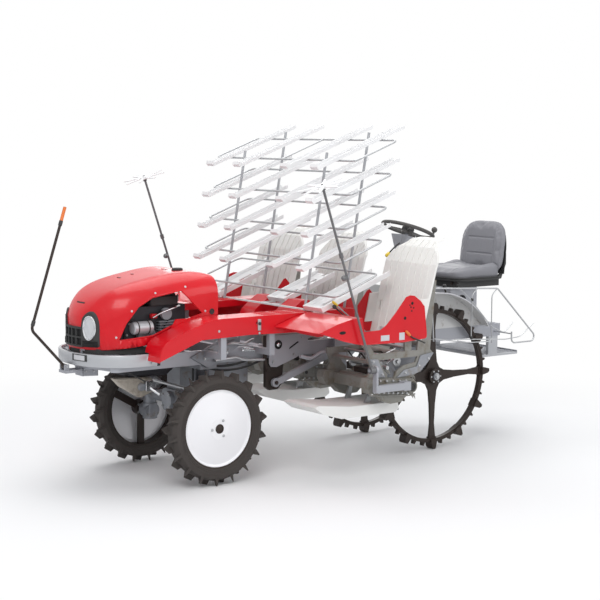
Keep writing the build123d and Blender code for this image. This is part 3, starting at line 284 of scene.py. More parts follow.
GRIP = Finish("wheel_grip", (0.105, 0.100, 0.096), (0.085, 0.081, 0.078), Grain.MOULDED, 0.50, relief=0.2,
              slot="black_plastic", specular=0.25)
CHROME = Finish("bright_metal", (0.74, 0.75, 0.77), (0.68, 0.69, 0.71), Grain.DRAWN, 0.14, 1.0, relief=0.02,
                slot="zinc_rod")
LAMP = Finish("lamp_glass", (0.80, 0.84, 0.87), (0.70, 0.75, 0.79), Grain.MOULDED, 0.10, coat=0.5,
              relief=0.10, slot="lamp_glass")
ORANGE = Finish("orange_plastic", (0.78, 0.19, 0.035), (0.70, 0.16, 0.03), Grain.MOULDED, 0.36, relief=0.05)
YELLOW = Finish("yellow_plastic", (0.82, 0.60, 0.05), (0.76, 0.54, 0.04), Grain.MOULDED, 0.36, relief=0.05)

SLOT_FINISH: dict[str, Finish] = {
    "red_paint": RED, "silver_paint": SILVER, "frame_grey": FRAME_GREY, "cast_alloy": CASTING,
    "dark_steel": DARK_STEEL, "wheel_white": WHEEL_WHITE, "tyre_rubber": TYRE, "white_plastic": RACK_WHITE,
    "platform_white": SHIELD_WHITE, "black_plastic": BLACK, "engine_black": ENGINE, "zinc_rod": ZINC,
    "seat_vinyl": VINYL, "float_plastic": FLOAT, "lamp_glass": LAMP,
}
NODE_FINISH: dict[str, Finish] = {
    "rear_fenders": FENDER, "link_brackets": DARK_STEEL, "steering_wheel": GRIP, "rack_posts": POST_GREY,
    "unit_frames": DIRTY_CAST, "planting_cases": DIRTY_CAST, "planting_arms": DIRTY_CAST,
    "unit_shafts": DIRTY_CAST, "marker_rod_left": ROD_GREY, "marker_rod_right": ROD_GREY,
}


# Studio


@dataclass
class Studio:
    """Pale floor, soft lamps and the camera at the photograph's place."""

    camera_at: tuple[float, float, float] = (7.7092, -5.5903, 1.9798)
    azimuth: float = 53.51
    pitch: float = 6.08
    roll: float = 0.28
    focal_px: float = 1573.6
    frame_px: float = 600.0
    sensor: float = 36.0
    floor_size: float = 60.0
    fade_from: float = 1.6
    fade_to: float = 4.2
    daylight: float = 0.48

    def camera(self) -> None:
        """The camera, turned by its azimuth, pitch and roll."""
        data = bpy.data.cameras.new("camera")
        data.sensor_width = self.sensor
        data.lens = self.focal_px * self.sensor / self.frame_px
        data.clip_end = 200.0
        made = bpy.data.objects.new("camera", data)
        a, e, roll = radians(self.azimuth), radians(self.pitch), radians(self.roll)
        back = Vector((sin(a) * cos(e), -cos(a) * cos(e), sin(e)))
        right = Vector((0, 0, 1)).cross(back).normalized()
        up = back.cross(right)
        side = cos(roll) * right + sin(roll) * up
        top = -sin(roll) * right + cos(roll) * up
        turn = Matrix((side, top, back)).transposed()
        made.matrix_world = Matrix.Translation(Vector(self.camera_at)) @ turn.to_4x4()
        bpy.context.scene.collection.objects.link(made)
        bpy.context.scene.camera = made

    def lamp(self, name: str, place: Point, size: float, power: float) -> None:
        """A square soft lamp that faces the machine.

        Args:
            name: the lamp's name.
            place: its place in metres.
            size: its side in metres.
            power: its power in watts.
        """
        data = bpy.data.lights.new(name, "AREA")
        data.size = size
        data.energy = power
        made = bpy.data.objects.new(name, data)
        made.location = place
        aim = Vector((0.0, 0.0, 0.8)) - Vector(place)
        made.rotation_euler = aim.to_track_quat("-Z", "Y").to_euler()
        bpy.context.scene.collection.objects.link(made)

    def world(self) -> None:
        """White to camera, glossy and transmission rays; a soft grey light to the rest."""
        world = bpy.data.worlds.new("studio")
        bpy.context.scene.world = world
        world.use_nodes = True
        tree = world.node_tree
        path = node(tree, "LightPath", {}).outputs
        most = node(tree, "Math", {0: path["Is Camera Ray"], 1: path["Is Transmission Ray"]}, "MAXIMUM")
        either = node(tree, "Math", {0: most.outputs[0], 1: path["Is Glossy Ray"]}, "MAXIMUM")
        soft = wire(tree, tree.nodes["Background"], {"Color": (0.93, 0.95, 1.0, 1.0),
                                                     "Strength": self.daylight})
        white = node(tree, "Background", {"Color": (1.0, 1.0, 1.0, 1.0), "Strength": 1.0})
        mix = node(tree, "MixShader", {"Fac": either.outputs[0], 1: soft.outputs[0], 2: white.outputs[0]})
        wire(tree, tree.nodes["World Output"], {"Surface": mix.outputs[0]})

    def floor(self) -> None:
        """Pale matt floor that fades to plain white away from the machine."""
        half = self.floor_size / 2
        mesh = bpy.data.meshes.new("floor")
        mesh.from_pydata([(-half, -half, 0), (half, -half, 0), (half, half, 0), (-half, half, 0)], [],
                         [(0, 1, 2, 3)])
        made = bpy.data.objects.new("floor", mesh)
        made.location = (0, 0, -0.001)
        bpy.context.scene.collection.objects.link(made)
        material = bpy.data.materials.new("pale_floor")
        material.use_nodes = True
        tree = material.node_tree
        matt = wire(tree, tree.nodes["Principled BSDF"], {"Base Color": (0.86, 0.86, 0.86, 1.0),
                                                          "Roughness": 0.9})
        coords = node(tree, "TexCoord", {}).outputs["Object"]
        away = node(tree, "VectorMath", {0: coords}, "LENGTH").outputs["Value"]
        fade = node(tree, "MapRange", {"Value": away, "From Min": self.fade_from, "From Max": self.fade_to})
        fade.interpolation_type = "SMOOTHSTEP"
        glow = node(tree, "Emission", {"Strength": 1.0})
        seen = node(tree, "LightPath", {}).outputs["Is Camera Ray"]
        share = node(tree, "Math", {0: seen, 1: fade.outputs["Result"]}, "MULTIPLY")
        mix = node(tree, "MixShader", {"Fac": share.outputs[0], 1: matt.outputs[0], 2: glow.outputs[0]})
        wire(tree, tree.nodes["Material Output"], {"Surface": mix.outputs[0]})
        mesh.materials.append(material)

    def build(self) -> None:
        """Set up the camera, floor, world and lamps."""
        self.camera()
        self.floor()
        self.world()
        self.lamp("key", (4.5, -4.5, 5.5), 4.0, 250.0)
        self.lamp("fill", (6.0, 3.5, 3.0), 4.0, 95.0)
        self.lamp("top", (-1.0, 0.5, 6.0), 5.0, 185.0)
        self.lamp("back", (-5.0, 4.0, 3.5), 3.5, 85.0)
        bpy.context.scene.view_settings.view_transform = "Standard"


# Surfaces


def places(rows: Sequence[Point]) -> Array:
    """Points in metres from rows of (left, behind the front axle, up) in millimetres.

    Args:
        rows: one row or several.

    Returns:
        An array with one point in each row.
    """
    return np.atleast_2d(np.asarray(rows, dtype=float)) / MM + np.array([0.0, FRONT_AXLE_Y, 0.0])


def rows_of(left: Array | float, behind: Array | float, up: Array | float) -> Array:
    """Rows of (left, behind, up) from whole columns, or from one value for all the rows."""
    return np.stack(np.broadcast_arrays(left, behind, up), -1).astype(float)


def unit(vectors: Array) -> Array:
    """Vectors divided by their lengths along the last direction."""
    return vectors / np.linalg.norm(vectors, axis=-1, keepdims=True)


def square_to(axis: Point) -> tuple[Array, Array, Array]:
    """Three unit directions: the axis, one square to it, and their cross product.

    Args:
        axis: any direction.

    Returns:
        The directions along the axis, to its side and up.
    """
    along = unit(np.asarray(axis, dtype=float))
    side = unit(np.cross(along, np.eye(3)[np.abs(along).argmin()]))
    return along, side, np.cross(along, side)


def coordinates(mesh: bpy.types.Mesh) -> Array:
    """A mesh's points.

    Args:
        mesh: the mesh.

    Returns:
        An array with one point in each row, in metres.
    """
    flat = np.empty(len(mesh.vertices) * 3)
    mesh.vertices.foreach_get("co", flat)
    return flat.reshape(-1, 3)


@dataclass
class Surface:
    """Points and faces of one form, with the faces grouped by their number of corners."""

    points: Array
    faces: list[Array]

    def copies(self, shifts: Array, turn: Array | None = None) -> "Surface":
        """The form repeated: point = shift + turn * point.

        Args:
            shifts: where each copy stands.
            turn: a rotation for all the copies.

        Returns:
            All the copies as one surface.
        """
        body = self.points if turn is None else self.points @ turn.T
        points = (shifts[:, None, :] + body[None]).reshape(-1, 3)
        step = (np.arange(len(shifts)) * len(self.points))[:, None, None]
        return Surface(points, [(step + table[None]).reshape(-1, table.shape[1]) for table in self.faces])

    def mirrored(self) -> "Surface":
        """The same form on the machine's other side."""
        return Surface(self.points * np.array([-1.0, 1.0, 1.0]), [table[:, ::-1] for table in self.faces])


def joined(forms: Sequence[Surface]) -> Surface:
    """Several forms as one surface.

    Args:
        forms: the surfaces.

    Returns:
        The surface, with the faces of each form numbered on from the forms before it.
    """
    start = np.cumsum([0] + [len(form.points) for form in forms])
    faces = [table + first for form, first in zip(forms, start) for table in form.faces]
    return Surface(np.concatenate([form.points for form in forms]), faces)


def both_sides(*forms: Surface) -> list[Surface]:
    """Forms of the left side and their mirror images."""
    return list(forms) + [form.mirrored() for form in forms]


def grid(points: Array, close_u: bool = False, close_v: bool = False, caps: bool = False) -> Surface:
    """Quads over a (u, v) table of points.

    Args:
        points: table with one point for each pair of parameters.
        close_u: join the last row to the first.
        close_v: join the last column to the first.
        caps: close the first and the last row with one face each.

    Returns:
        The surface.
    """
    rows, columns = points.shape[:2]
    index = np.arange(rows * columns).reshape(rows, columns)
    if close_u:
        index = np.vstack([index, index[:1]])
    if close_v:
        index = np.hstack([index, index[:, :1]])
    quads = np.stack([index[:-1, :-1], index[1:, :-1], index[1:, 1:], index[:-1, 1:]], -1).reshape(-1, 4)
    faces = [quads]
    if caps:
        faces += [index[:1, :columns][:, ::-1], index[-1:, :columns]]
    return Surface(points.reshape(-1, 3), faces)


def swept(path: Array, profile: Array, closed: bool = False, steady: Point | None = None) -> Surface:
    """A profile carried along a path: point = path + a * side + b * up, square to the path.

    Args:
        path: points of the path in metres.
        profile: rows of (a, b) round the section in metres.
        closed: the path is a loop.
        steady: a direction that the section's up stays near.

    Returns:
        The surface, with its ends capped where the path is open.
    """
    ahead, back = np.roll(path, -1, axis=0), np.roll(path, 1, axis=0)
    tangent = ahead - back
    if not closed:
        tangent[0], tangent[-1] = path[1] - path[0], path[-1] - path[-2]
    tangent = unit(tangent)
    if steady is None:
        steady = np.eye(3)[np.abs(tangent).max(axis=0).argmin()]
    side = unit(np.cross(tangent, np.asarray(steady, dtype=float)))
    up = np.cross(side, tangent)
    points = path[:, None] + profile[None, :, :1] * side[:, None] + profile[None, :, 1:] * up[:, None]
    return grid(points, close_u=closed, close_v=True, caps=not closed)


def circle(radius: float, sides: int = 10) -> Array:
    """Profile rows round a circle: (r cos a, r sin a)."""
    angle = np.linspace(0, 2 * pi, sides, endpoint=False)
    return radius * np.stack([np.cos(angle), np.sin(angle)], -1)


def strip(width: float, thickness: float) -> Array:
    """Profile rows of a flat bar."""
    a, b = width / 2, thickness / 2
    return np.array([(-a, -b), (a, -b), (a, b), (-a, b)])


def rounded(corners: Array, bend: float, steps: int = 6, closed: bool = False, most: float = 0.46) -> Array:
    """A line of corners with each one rounded by the curve (1-t)^2 in + 2t(1-t) corner + t^2 out.

    Args:
        corners: the corners in metres.
        bend: how far before and behind its corner each curve starts and ends.
        steps: points on each curve.
        closed: the line is a loop.
        most: share of a straight that its curves may take at each end.

    Returns:
        The points of the rounded line.
    """
    back, ahead = np.roll(corners, 1, axis=0), np.roll(corners, -1, axis=0)
    enter, leave = back - corners, ahead - corners
    near = np.linalg.norm(enter, axis=1, keepdims=True)
    far = np.linalg.norm(leave, axis=1, keepdims=True)
    enter = corners + enter / near * np.minimum(bend, near * most)
    leave = corners + leave / far * np.minimum(bend, far * most)
    t = np.linspace(0, 1, steps)[None, :, None]
    curve = (1 - t) ** 2 * enter[:, None] + 2 * t * (1 - t) * corners[:, None] + t ** 2 * leave[:, None]
    if closed:
        return curve.reshape(-1, 3)
    return np.concatenate([corners[:1], curve[1:-1].reshape(-1, 3), corners[-1:]])


def rod(corners: Sequence[Point], radius: float, bend: float = 20.0, sides: int = 10,
        closed: bool = False) -> Surface:
    """A bent round rod from corners in millimetres.

    Args:
        corners: rows of (left, behind the front axle, up).
        radius: of the rod, in millimetres.
        bend: length of each bend either side of its corner, in millimetres.
        sides: sides of the rod.
        closed: the rod is a loop.

    Returns:
        The surface.
    """
    line = places(corners)
    if len(line) > 2:
        line = rounded(line, bend / MM, closed=closed)
    return swept(line, circle(radius / MM, sides), closed)


def turned(profile: Sequence[Sequence[float]], centre: Point, axis: Point, sides: int = 32) -> Surface:
    """A round form: each (radius, along) row of the profile swings round the axis.

    Args:
        profile: rows of radius and distance along the axis, in millimetres.
        centre: (left, behind, up) of the zero of the axis, in millimetres.
        axis: direction of the axis.
        sides: steps round the form.

    Returns:
        The surface; it is closed where the profile starts and ends at radius nought.
    """
    along, side, up = square_to(axis)
    ring = circle(1.0, sides)
    ring = ring[:, :1] * side + ring[:, 1:] * up
    rows = np.asarray(profile, dtype=float) / MM
    points = places(centre)[0] + rows[:, None, 1:] * along + rows[:, None, :1] * ring[None]
    return grid(points, close_v=True)


def slab(outline: Array, push: Point) -> Surface:
    """A flat plate: an outline, its copy pushed along a vector and the walls between them.

    Args:
        outline: the corners in metres.
        push: the vector in metres.

    Returns:
        The closed surface.
    """
    count = len(outline)
    index = np.arange(count)
    walls = np.stack([index, np.roll(index, -1), np.roll(index, -1) + count, index + count], -1)
    return Surface(np.concatenate([outline, outline + np.asarray(push)]),
                   [walls, index[None, ::-1], index[None] + count])


def side_slab(outline: Sequence[Sequence[float]], low: float, high: float) -> Surface:
    """A plate cut to (behind, up) rows, between two distances to the left, in millimetres."""
    return slab(places([(low, y, z) for y, z in outline]), ((high - low) / MM, 0, 0))


def box(x_low: float, x_high: float, y_low: float, y_high: float, z_low: float, z_high: float) -> Surface:
    """A square block between two corners in millimetres."""
    return side_slab([(y_low, z_low), (y_high, z_low), (y_high, z_high), (y_low, z_high)], x_low, x_high)


@dataclass(frozen=True)
class Bolt:
    """Hexagon head on its washer; sizes in millimetres."""

    across: float = 14.0
    rise: float = 6.0
    washer: float = 1.6

    def form(self) -> Surface:
        """The head and washer at the origin, up the Z axis.

        Returns:
            The two forms as one surface.
        """
        r, w = self.across / 2, self.washer
        base = (0.0, -FRONT_AXLE_Y * MM, 0.0)
        head = turned([(0, w - 0.4), (r, w - 0.4), (r, w + self.rise * 0.8), (r * 0.86, w + self.rise),
                       (0, w + self.rise)], base, (0, 0, 1), 6)
        plate = turned([(0, -0.5), (r * 1.25, -0.5), (r * 1.25, w), (0, w)], base, (0, 0, 1), 14)
        return joined([head, plate])

    def at(self, rows: Sequence[Point], axis: Point) -> Surface:
        """A bolt at each place.

        Args:
            rows: (left, behind, up) in millimetres.
            axis: the way that the heads point.

        Returns:
            All the bolts as one surface.
        """
        along, side, up = square_to(axis)
        return self.form().copies(places(rows), np.stack([side, up, along], -1))


def coil(start: Point, end: Point, radius: float, gauge: float, turns: int, steps: int = 14) -> Surface:
    """A coil spring: centre line plus radius (cos, sin) of the turn angle.

    Args:
        start: (left, behind, up) of one end, in millimetres.
        end: the other end.
        radius: of the coil's middle line, in millimetres.
        gauge: radius of its wire, in millimetres.
        turns: whole turns.
        steps: points on each turn.

    Returns:
        The spring.
    """
    low, high = places([start, end])
    along, side, up = square_to(high - low)
    share = np.linspace(0, 1, turns * steps + 1)[:, None]
    angle = share * turns * 2 * pi
    path = low + (high - low) * share + radius / MM * (np.cos(angle) * side + np.sin(angle) * up)
    return swept(path, circle(gauge / MM, 6), steady=along)


def piece(body: str, name: str, finish: Finish, *forms: Surface, bevel: float = 0.0,
          stands_for: Sequence[str] = ()) -> bpy.types.Object:
    """Make one object from its forms and let it ride on a body.

    Args:
        body: the CAD body that carries it.
        name: the object's name.
        finish: its finish.
        forms: the surfaces that it is made of.
        bevel: width of the rounding of its sharp edges, in millimetres.
        stands_for: CAD nodes that it replaces.

    Returns:
        The object.
    """
    form = joined(forms)
    mesh = bpy.data.meshes.new(name)
    mesh.from_pydata(form.points, [], [row for table in form.faces for row in table.tolist()])
    made = bmesh.new()
    made.from_mesh(mesh)
    bmesh.ops.remove_doubles(made, verts=made.verts, dist=MERGE_WITHIN)
    bmesh.ops.dissolve_degenerate(made, edges=made.edges, dist=MERGE_WITHIN)
    bmesh.ops.recalc_face_normals(made, faces=made.faces)
    made.to_mesh(mesh)
    made.free()
    mesh.materials.append(finish.material())
    shown = bpy.data.objects.new(name, mesh)
    bpy.context.scene.collection.objects.link(shown)
    mesh.shade_smooth()
    mesh.set_sharp_from_angle(angle=SHARP_FROM)
    if bevel:
        edge = shown.modifiers.new("edge", "BEVEL")
        edge.width = bevel / MM
        edge.segments = 2
        edge.limit_method = "ANGLE"
        edge.angle_limit = BEVEL_FROM
        mesh.set_sharp_from_angle(angle=BEVELLED_SHARP_FROM)
    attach(shown, body)
    if stands_for:
        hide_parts(*stands_for)
    LOG.info("%s: %d faces on %s", name, len(mesh.polygons), body)
    return shown


def reshaped(body: str, name: str, finish: Finish, mesh: bpy.types.Mesh) -> bpy.types.Object:
    """Show a reshaped copy of a CAD node's mesh.

    Args:
        body: the CAD body that carries it.
        name: the object's name.
        finish: its finish.
        mesh: the copy, in the machine's own place.

    Returns:
        The object.
    """
    mesh.materials.clear()
    mesh.materials.append(finish.material())
    shown = bpy.data.objects.new(name, mesh)
    bpy.context.scene.collection.objects.link(shown)
    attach(shown, body)
    LOG.info("%s: %d faces on %s", name, len(mesh.polygons), body)
    return shown


fixed = partial(piece, "chassis")
on_bonnet = partial(piece, "bonnet")
on_section = partial(piece, "planting_section")


class Skin:
    """Finds places on a mesh by straight probes."""

    def __init__(self, mesh: bpy.types.Mesh) -> None:
        """Gather the mesh's triangles.

        Args:
            mesh: the mesh, in the machine's own place.
        """
        mesh.calc_loop_triangles()
        corners = np.empty(len(mesh.loop_triangles) * 3, dtype=np.int32)
        mesh.loop_triangles.foreach_get("vertices", corners)
        self.tree = BVHTree.FromPolygons(coordinates(mesh).tolist(), corners.reshape(-1, 3).tolist())

    def probe(self, rows: Sequence[Point] | Array, way: Point) -> tuple[Array, Array]:
        """Where straight lines from each row meet the mesh.

        Args:
            rows: (left, behind, up) starts in millimetres.
            way: the direction of the lines.

        Returns:
            The places that were met as rows in millimetres, and the outward directions there.
        """
        found = [self.tree.ray_cast(Vector(start), Vector(way).normalized()) for start in places(rows)]
        hits = np.array([hit[0] for hit in found if hit[0]])
        normals = np.array([hit[1] for hit in found if hit[0]])
        normals *= -np.sign(normals @ np.asarray(way, dtype=float))[:, None]
        return (hits - np.array([0.0, FRONT_AXLE_Y, 0.0])) * MM, normals

    def draped(self, rows: Sequence[Point] | Array, way: Point, lift: float) -> Array:
        """Rows moved onto the mesh and lifted off it, in metres."""
        hits, normals = self.probe(rows, way)
        return places(hits) + normals * lift / MM


@dataclass
class Nose:
    """Bonnet shell, lamps, grille, bumper and sighting pole; sizes in millimetres."""

    frame: dict
    tip: float = -672.0
    shoulder: float = -330.0
    front_half: float = 178.0
    front_sweep: float = 70.0
    roundness: float = 2.3
    window: tuple[tuple[float, float], ...] = (
        (-545, 842), (-500, 930), (-420, 1020), (-330, 1066), (-150, 1096), (-20, 965), (-120, 940),
        (-225, 905), (-330, 862))
    rivets: tuple[tuple[float, float], ...] = ((-566, 856), (-466, 1000), (-306, 1092),
                                               (-118, 1118), (2, 976))
    lamp: tuple[float, float] = (131.0, 905.0)
    lens: tuple[float, float] = (31.0, 63.0)
    band: tuple[tuple[float, float], ...] = (
        (336, -337), (336, -462), (316, -540), (258, -614), (178, -664), (90, -689), (0, -697))
    strips: tuple[int, int, int] = (-252, 253, 18)
    rings: tuple[int, int, int] = (-660, -320, 16)
    band_up: float = 732.0
    rail_tip: float = -640.0
    rail_room: float = 12.0
    rail_front: float = -580.0
    rail_span: tuple[float, float] = (150.0, 320.0)
    ahead: float = -900.0
    above: float = 1400.0

    def half_width(self, behind: Array) -> Array:
        """Half width of the CAD bonnet at each distance behind the front axle."""
        return np.interp(behind, (-672, -610, -430, -150, 92), (238, 268, 288, 300, 300))

    def bent(self, rows: Array) -> Array:
        """The nose rounded in plan.

        Each row's share u of the half width is kept. The side line becomes the Bezier curve from the
        front's corner to the shoulder, and rows between the middle and the side move back by |u|^roundness.

        Args:
            rows: (left, behind, up) in millimetres.

        Returns:
            The moved rows.
        """
        x, behind = rows[:, 0], rows[:, 1]
        share = np.clip((behind - self.tip) / (self.shoulder - self.tip), 0, 1)
        u = np.clip(x / self.half_width(behind), -1.02, 1.02)
        corners = np.array([(self.front_half, self.tip + self.front_sweep), (243.0, -542.0), (288.0, -440.0),
                            (292.3, self.shoulder)])
        rest = 1 - share
        weight = np.stack([rest ** 3, 3 * share * rest ** 2, 3 * share ** 2 * rest, share ** 3], -1)
        side = weight @ corners
        moved = rows.copy()
        near = behind < self.shoulder
        moved[:, 0] = np.where(near, u * side[:, 0], x)
        moved[:, 1] = np.where(near, behind + np.abs(u) ** self.roundness * (side[:, 1] - behind), behind)
        return moved

    def shell(self) -> bpy.types.Mesh:
        """The bonnet's own mesh, cut fine at the nose and rounded in plan.

        Returns:
            The mesh.
        """
        made = bmesh.new()
        made.from_mesh(self.frame["nodes"]["bonnet"].data)
        bmesh.ops.remove_doubles(made, verts=made.verts, dist=1e-5)
        cuts = [((x / MM, 0, 0), (1, 0, 0)) for x in range(*self.strips)]
        cuts += [((0, places([(0, y, 0)])[0][1], 0), (0, 1, 0)) for y in range(*self.rings)]
        for place, way in cuts:
            bmesh.ops.bisect_plane(made, geom=made.verts[:] + made.edges[:] + made.faces[:], dist=1e-6,
                                   plane_co=place, plane_no=way)
        bmesh.ops.remove_doubles(made, verts=made.verts, dist=2e-5)
        mesh = bpy.data.meshes.new("bonnet_shell")
        made.to_mesh(mesh)
        made.free()
        shift = np.array([0.0, FRONT_AXLE_Y, 0.0])
        rows = (coordinates(mesh) - shift) * MM
        mesh.vertices.foreach_set("co", (self.bent(rows) / MM + shift).ravel())
        mesh.shade_smooth()
        mesh.set_sharp_from_angle(angle=radians(34.0))
        shown = reshaped("bonnet", "bonnet_shell", RED, mesh)
        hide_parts("bonnet")
        return mesh

    def window_beads(self, skin: Skin) -> list[Surface]:
        """Rolled edge round each side window, probed onto the bonnet's side.

        Args:
            skin: the bonnet's surface.

        Returns:
            The two edges.
        """
        rim = np.array(self.window, dtype=float)
        rim += unit(rim - rim.mean(axis=0)) * 5.0
        rim = self.bent(np.c_[self.half_width(rim[:, 0]), rim])
        line = rounded(np.c_[np.full(len(rim), 0.5), rim[:, 1:] / MM], 0.006, 3, closed=True) * MM
        share = np.linspace(0, 1, 4, endpoint=False)[None, :, None]
        line = (line[:, None] * (1 - share) + np.roll(line, -1, axis=0)[:, None] * share).reshape(-1, 3)
        return both_sides(swept(skin.draped(line, (-1, 0, 0), 0.4), circle(0.0030, 8), closed=True))

    def bonnet(self, skin: Skin) -> None:
        """Window edges, push rivets, filler cap, and black rims and painted shade of the latch holes and
        slots on the bonnet.

        Args:
            skin: the bonnet's surface.
        """
        on_bonnet("bonnet_window_edges", RED, *self.window_beads(skin))
        rows = np.array([(290, y, z) for y, z in self.rivets], dtype=float)
        rows = self.bent(rows) * (0, 1, 1) + (450, 0, 0)
        heads, normals = skin.probe(rows, (-1, 0, 0))
        head = ((0, -1), (6.5, -1), (6.5, 0.6), (5.0, 2.4), (0, 3.0))
        on_bonnet("bonnet_push_rivets", PALE_PLASTIC,
                  *both_sides(*[turned(head, place, way, 14) for place, way in zip(heads, normals)]))
        # Painted shade: a black disc with a raised rim stands for each side latch hole, which is dark from
        # the shade inside it.
        latch_hole_at, way = skin.probe([(450, 47, 971)], (-1, 0, 0))
        rim = ((0, -4), (17, -4), (17, 2.2), (14.5, 3.0), (12.5, 1.0), (0, 0.4))
        on_bonnet("bonnet_side_plugs", BLACK, *both_sides(turned(rim, latch_hole_at[0], way[0], 24)))
        # Painted shade: black strips stand for the shade inside the handle slot at the front and the vent
        # slots on top.
        slot = skin.draped(rows_of(np.linspace(-40, 44, 9), self.ahead, 1034.0), (0, 1, 0), 0.6)
        slots = [swept(slot, strip(0.011, 0.0016), steady=(0, -1, 0.3))]
        for low, high, y in ((-60, -26, -352), (-52, -26, -268), (-6, 46, -90)):
            line = skin.draped(rows_of(np.linspace(low, high, 5), y, self.above), (0, 0, -1), 0.4)
            slots.append(swept(line, strip(0.012, 0.0014), steady=(0, 0, 1)))
        on_bonnet("bonnet_handle_and_vents", BLACK, *slots)
        base, way = skin.probe([(118, -66, self.above)], (0, 0, -1))
        cap = ((0, -5), (33, -5), (33, 5), (29, 5.5), (29, 11), (26, 13), (0, 14))
        angle = np.linspace(0, 2 * pi, 18, endpoint=False)[:, None]
        along = unit(way[0])
        side = unit(np.cross(along, (0, 1, 0)))
        ring = np.cos(angle) * side + np.sin(angle) * np.cross(along, side)
        spots = places(base) + 0.029 * ring + 0.0078 * along
        origin = -FRONT_AXLE_Y * MM
        block = box(-1.6, 1.6, origin - 1.6, origin + 1.6, -2.6, 2.6)
        on_bonnet("bonnet_filler_cap", BLACK, turned(cap, base[0], way[0], 36), block.copies(spots))

    def grille(self, skin: Skin) -> None:
        """Black grille between the lamps: two rows of openings and their bars, with a near-black sheet behind
        them as painted shade inside the openings.

        Args:
            skin: the bonnet's surface.
        """
        across = np.linspace(-88, 88, 13)
        # Painted shade: the near-black sheet behind the bars stands for the shade inside the grille's
        # openings.
        back = skin.draped(rows_of(across, self.ahead, 852), (0, 1, 0), 0.6)
        on_bonnet("grille_backing", DEEP_BLACK_AND_SHADE, swept(back, strip(0.0012, 0.104), steady=(0, 0, 1)))
        levels = []
        for z, width in ((803, 0.010), (851, 0.009), (903, 0.012)):
            line = skin.draped(rows_of(across, self.ahead, z), (0, 1, 0), 5)
            levels.append(swept(line, strip(0.010, width), steady=(0, 0, 1)))
        for x in (-84, -42, 0, 42, 84):
            line = skin.draped([(x, self.ahead, z) for z in np.linspace(799, 906, 5)], (0, 1, 0), 4.5)
            levels.append(swept(line, strip(0.008, 0.009), steady=(1, 0, 0)))
        on_bonnet("grille_bars", BLACK, *levels)

    def lamps(self, skin: Skin) -> None:
        """Tall black hood, bright rim and oval lens of each lamp.

        The hood's rows run from its arch to the oval, each row's lift off the bonnet read from a
        profile. With t from one at the rim to nought in the middle, the lens is lifted by
        7 + 8 (1 - t^2), and the reflector dish behind it by 4.5 - 2.5 (1 - t^2).

        Args:
            skin: the bonnet's surface.
        """
        angle = np.linspace(0, 2 * pi, 72, endpoint=False)
        wave = np.stack([np.cos(angle), np.sin(angle)], -1)
        upper = wave * (46, 92)
        reach = np.minimum(46 / np.maximum(np.abs(wave[:, :1]), 1e-6),
                           105 / np.maximum(np.abs(wave[:, 1:]), 1e-6))
        arch = np.where(wave[:, 1:] >= 0, upper, wave * reach)
        oval = wave * self.lens

        def rows(outer: Array, inner: Array, share: Array, lift: Array) -> Surface:
            """Rings between two outlines, each lifted off the bonnet.

            Args:
                outer: (left, up) rows round the lamp's middle.
                inner: the rows that they run to.
                share: how far each ring has run.
                lift: how far ahead of the bonnet each ring stands.

            Returns:
                The surface.
            """
            flat = outer[None] + (inner - outer)[None] * share[:, None, None] + np.array(self.lamp)
            start = np.insert(flat, 1, self.ahead, axis=-1).reshape(-1, 3)
            hits, _ = skin.probe(start, (0, 1, 0))
            hits = hits.reshape(len(share), -1, 3)
            hits[..., 1] -= lift[:, None]
            return grid(places(hits.reshape(-1, 3)).reshape(hits.shape), close_v=True)

        share = np.array([0, 0, 0.10, 0.3, 0.8, 0.95, 1.0])
        hood = rows(arch, oval * 1.08, share, np.array([-3.0, 7, 11, 11.5, 9, 6, -4]))
        on_bonnet("lamp_hoods", BLACK, *both_sides(hood), stands_for=("headlamp_bezels",))
        rim = rows(oval * 1.10, oval * 0.98, np.array([0, 0.2, 0.7, 1.0]), np.array([5.0, 12, 12, 5]))
        on_bonnet("lamp_rims", CHROME, *both_sides(rim))
        share = np.linspace(0, 1, 9)
        middle = oval * 0.001
        lens = rows(oval, middle, share, 7 + 8 * (1 - (1 - share) ** 2))
        on_bonnet("lamp_lenses", LAMP, *both_sides(lens), stands_for=("headlamps",))
        dish = rows(oval * 1.02, middle, share, 4.5 - 2.5 * (1 - (1 - share) ** 2))
        on_bonnet("lamp_reflectors", PALE_PLASTIC, *both_sides(dish))
        fins = []
        for z in (804, 813, 822, 831):
            line = skin.draped(rows_of(np.linspace(92, 170, 7), self.ahead, z), (0, 1, 0), 11)
            fins.append(swept(line, strip(0.006, 0.003), steady=(0, 0, 1)))
        on_bonnet("lamp_louvres", DEEP_BLACK_AND_SHADE, *both_sides(*fins))

    def band_line(self) -> Array:
        """Middle line of the bumper in plan, rounded.

        Returns:
            Its points in metres.
        """
        half = np.array(self.band, dtype=float)
        whole = np.concatenate([half, (half * (-1, 1))[-2::-1]])
        return rounded(places(rows_of(*whole.T, self.band_up)), 0.045, 6)

    def rails(self) -> None:
        """The frame's rails and members, their front ends cut back behind the bowed bumper.

        Each point of a rail's front end moves back by the band's place there, plus the room behind
        it, less the place of the uncut tips, where that is more than nought.
        """
        source = self.frame["nodes"]["main_frame"].data
        rows = coordinates(source)
        line = np.array(self.band, dtype=float)[::-1] / MM
        left = np.abs(rows[:, 0])
        limit = np.interp(left, line[:, 0], line[:, 1] + self.rail_room / MM) + FRONT_AXLE_Y
        low, high = np.array(self.rail_span) / MM
        ends = (rows[:, 1] < FRONT_AXLE_Y + self.rail_front / MM) & (left > low) & (left < high)
        rows[:, 1] += np.where(ends, np.maximum(limit - FRONT_AXLE_Y - self.rail_tip / MM, 0.0), 0.0)
        mesh = source.copy()
        mesh.vertices.foreach_set("co", rows.ravel())
        shown = reshaped("chassis", "frame_rails_and_members", FRAME_GREY, mesh)
        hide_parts("main_frame")

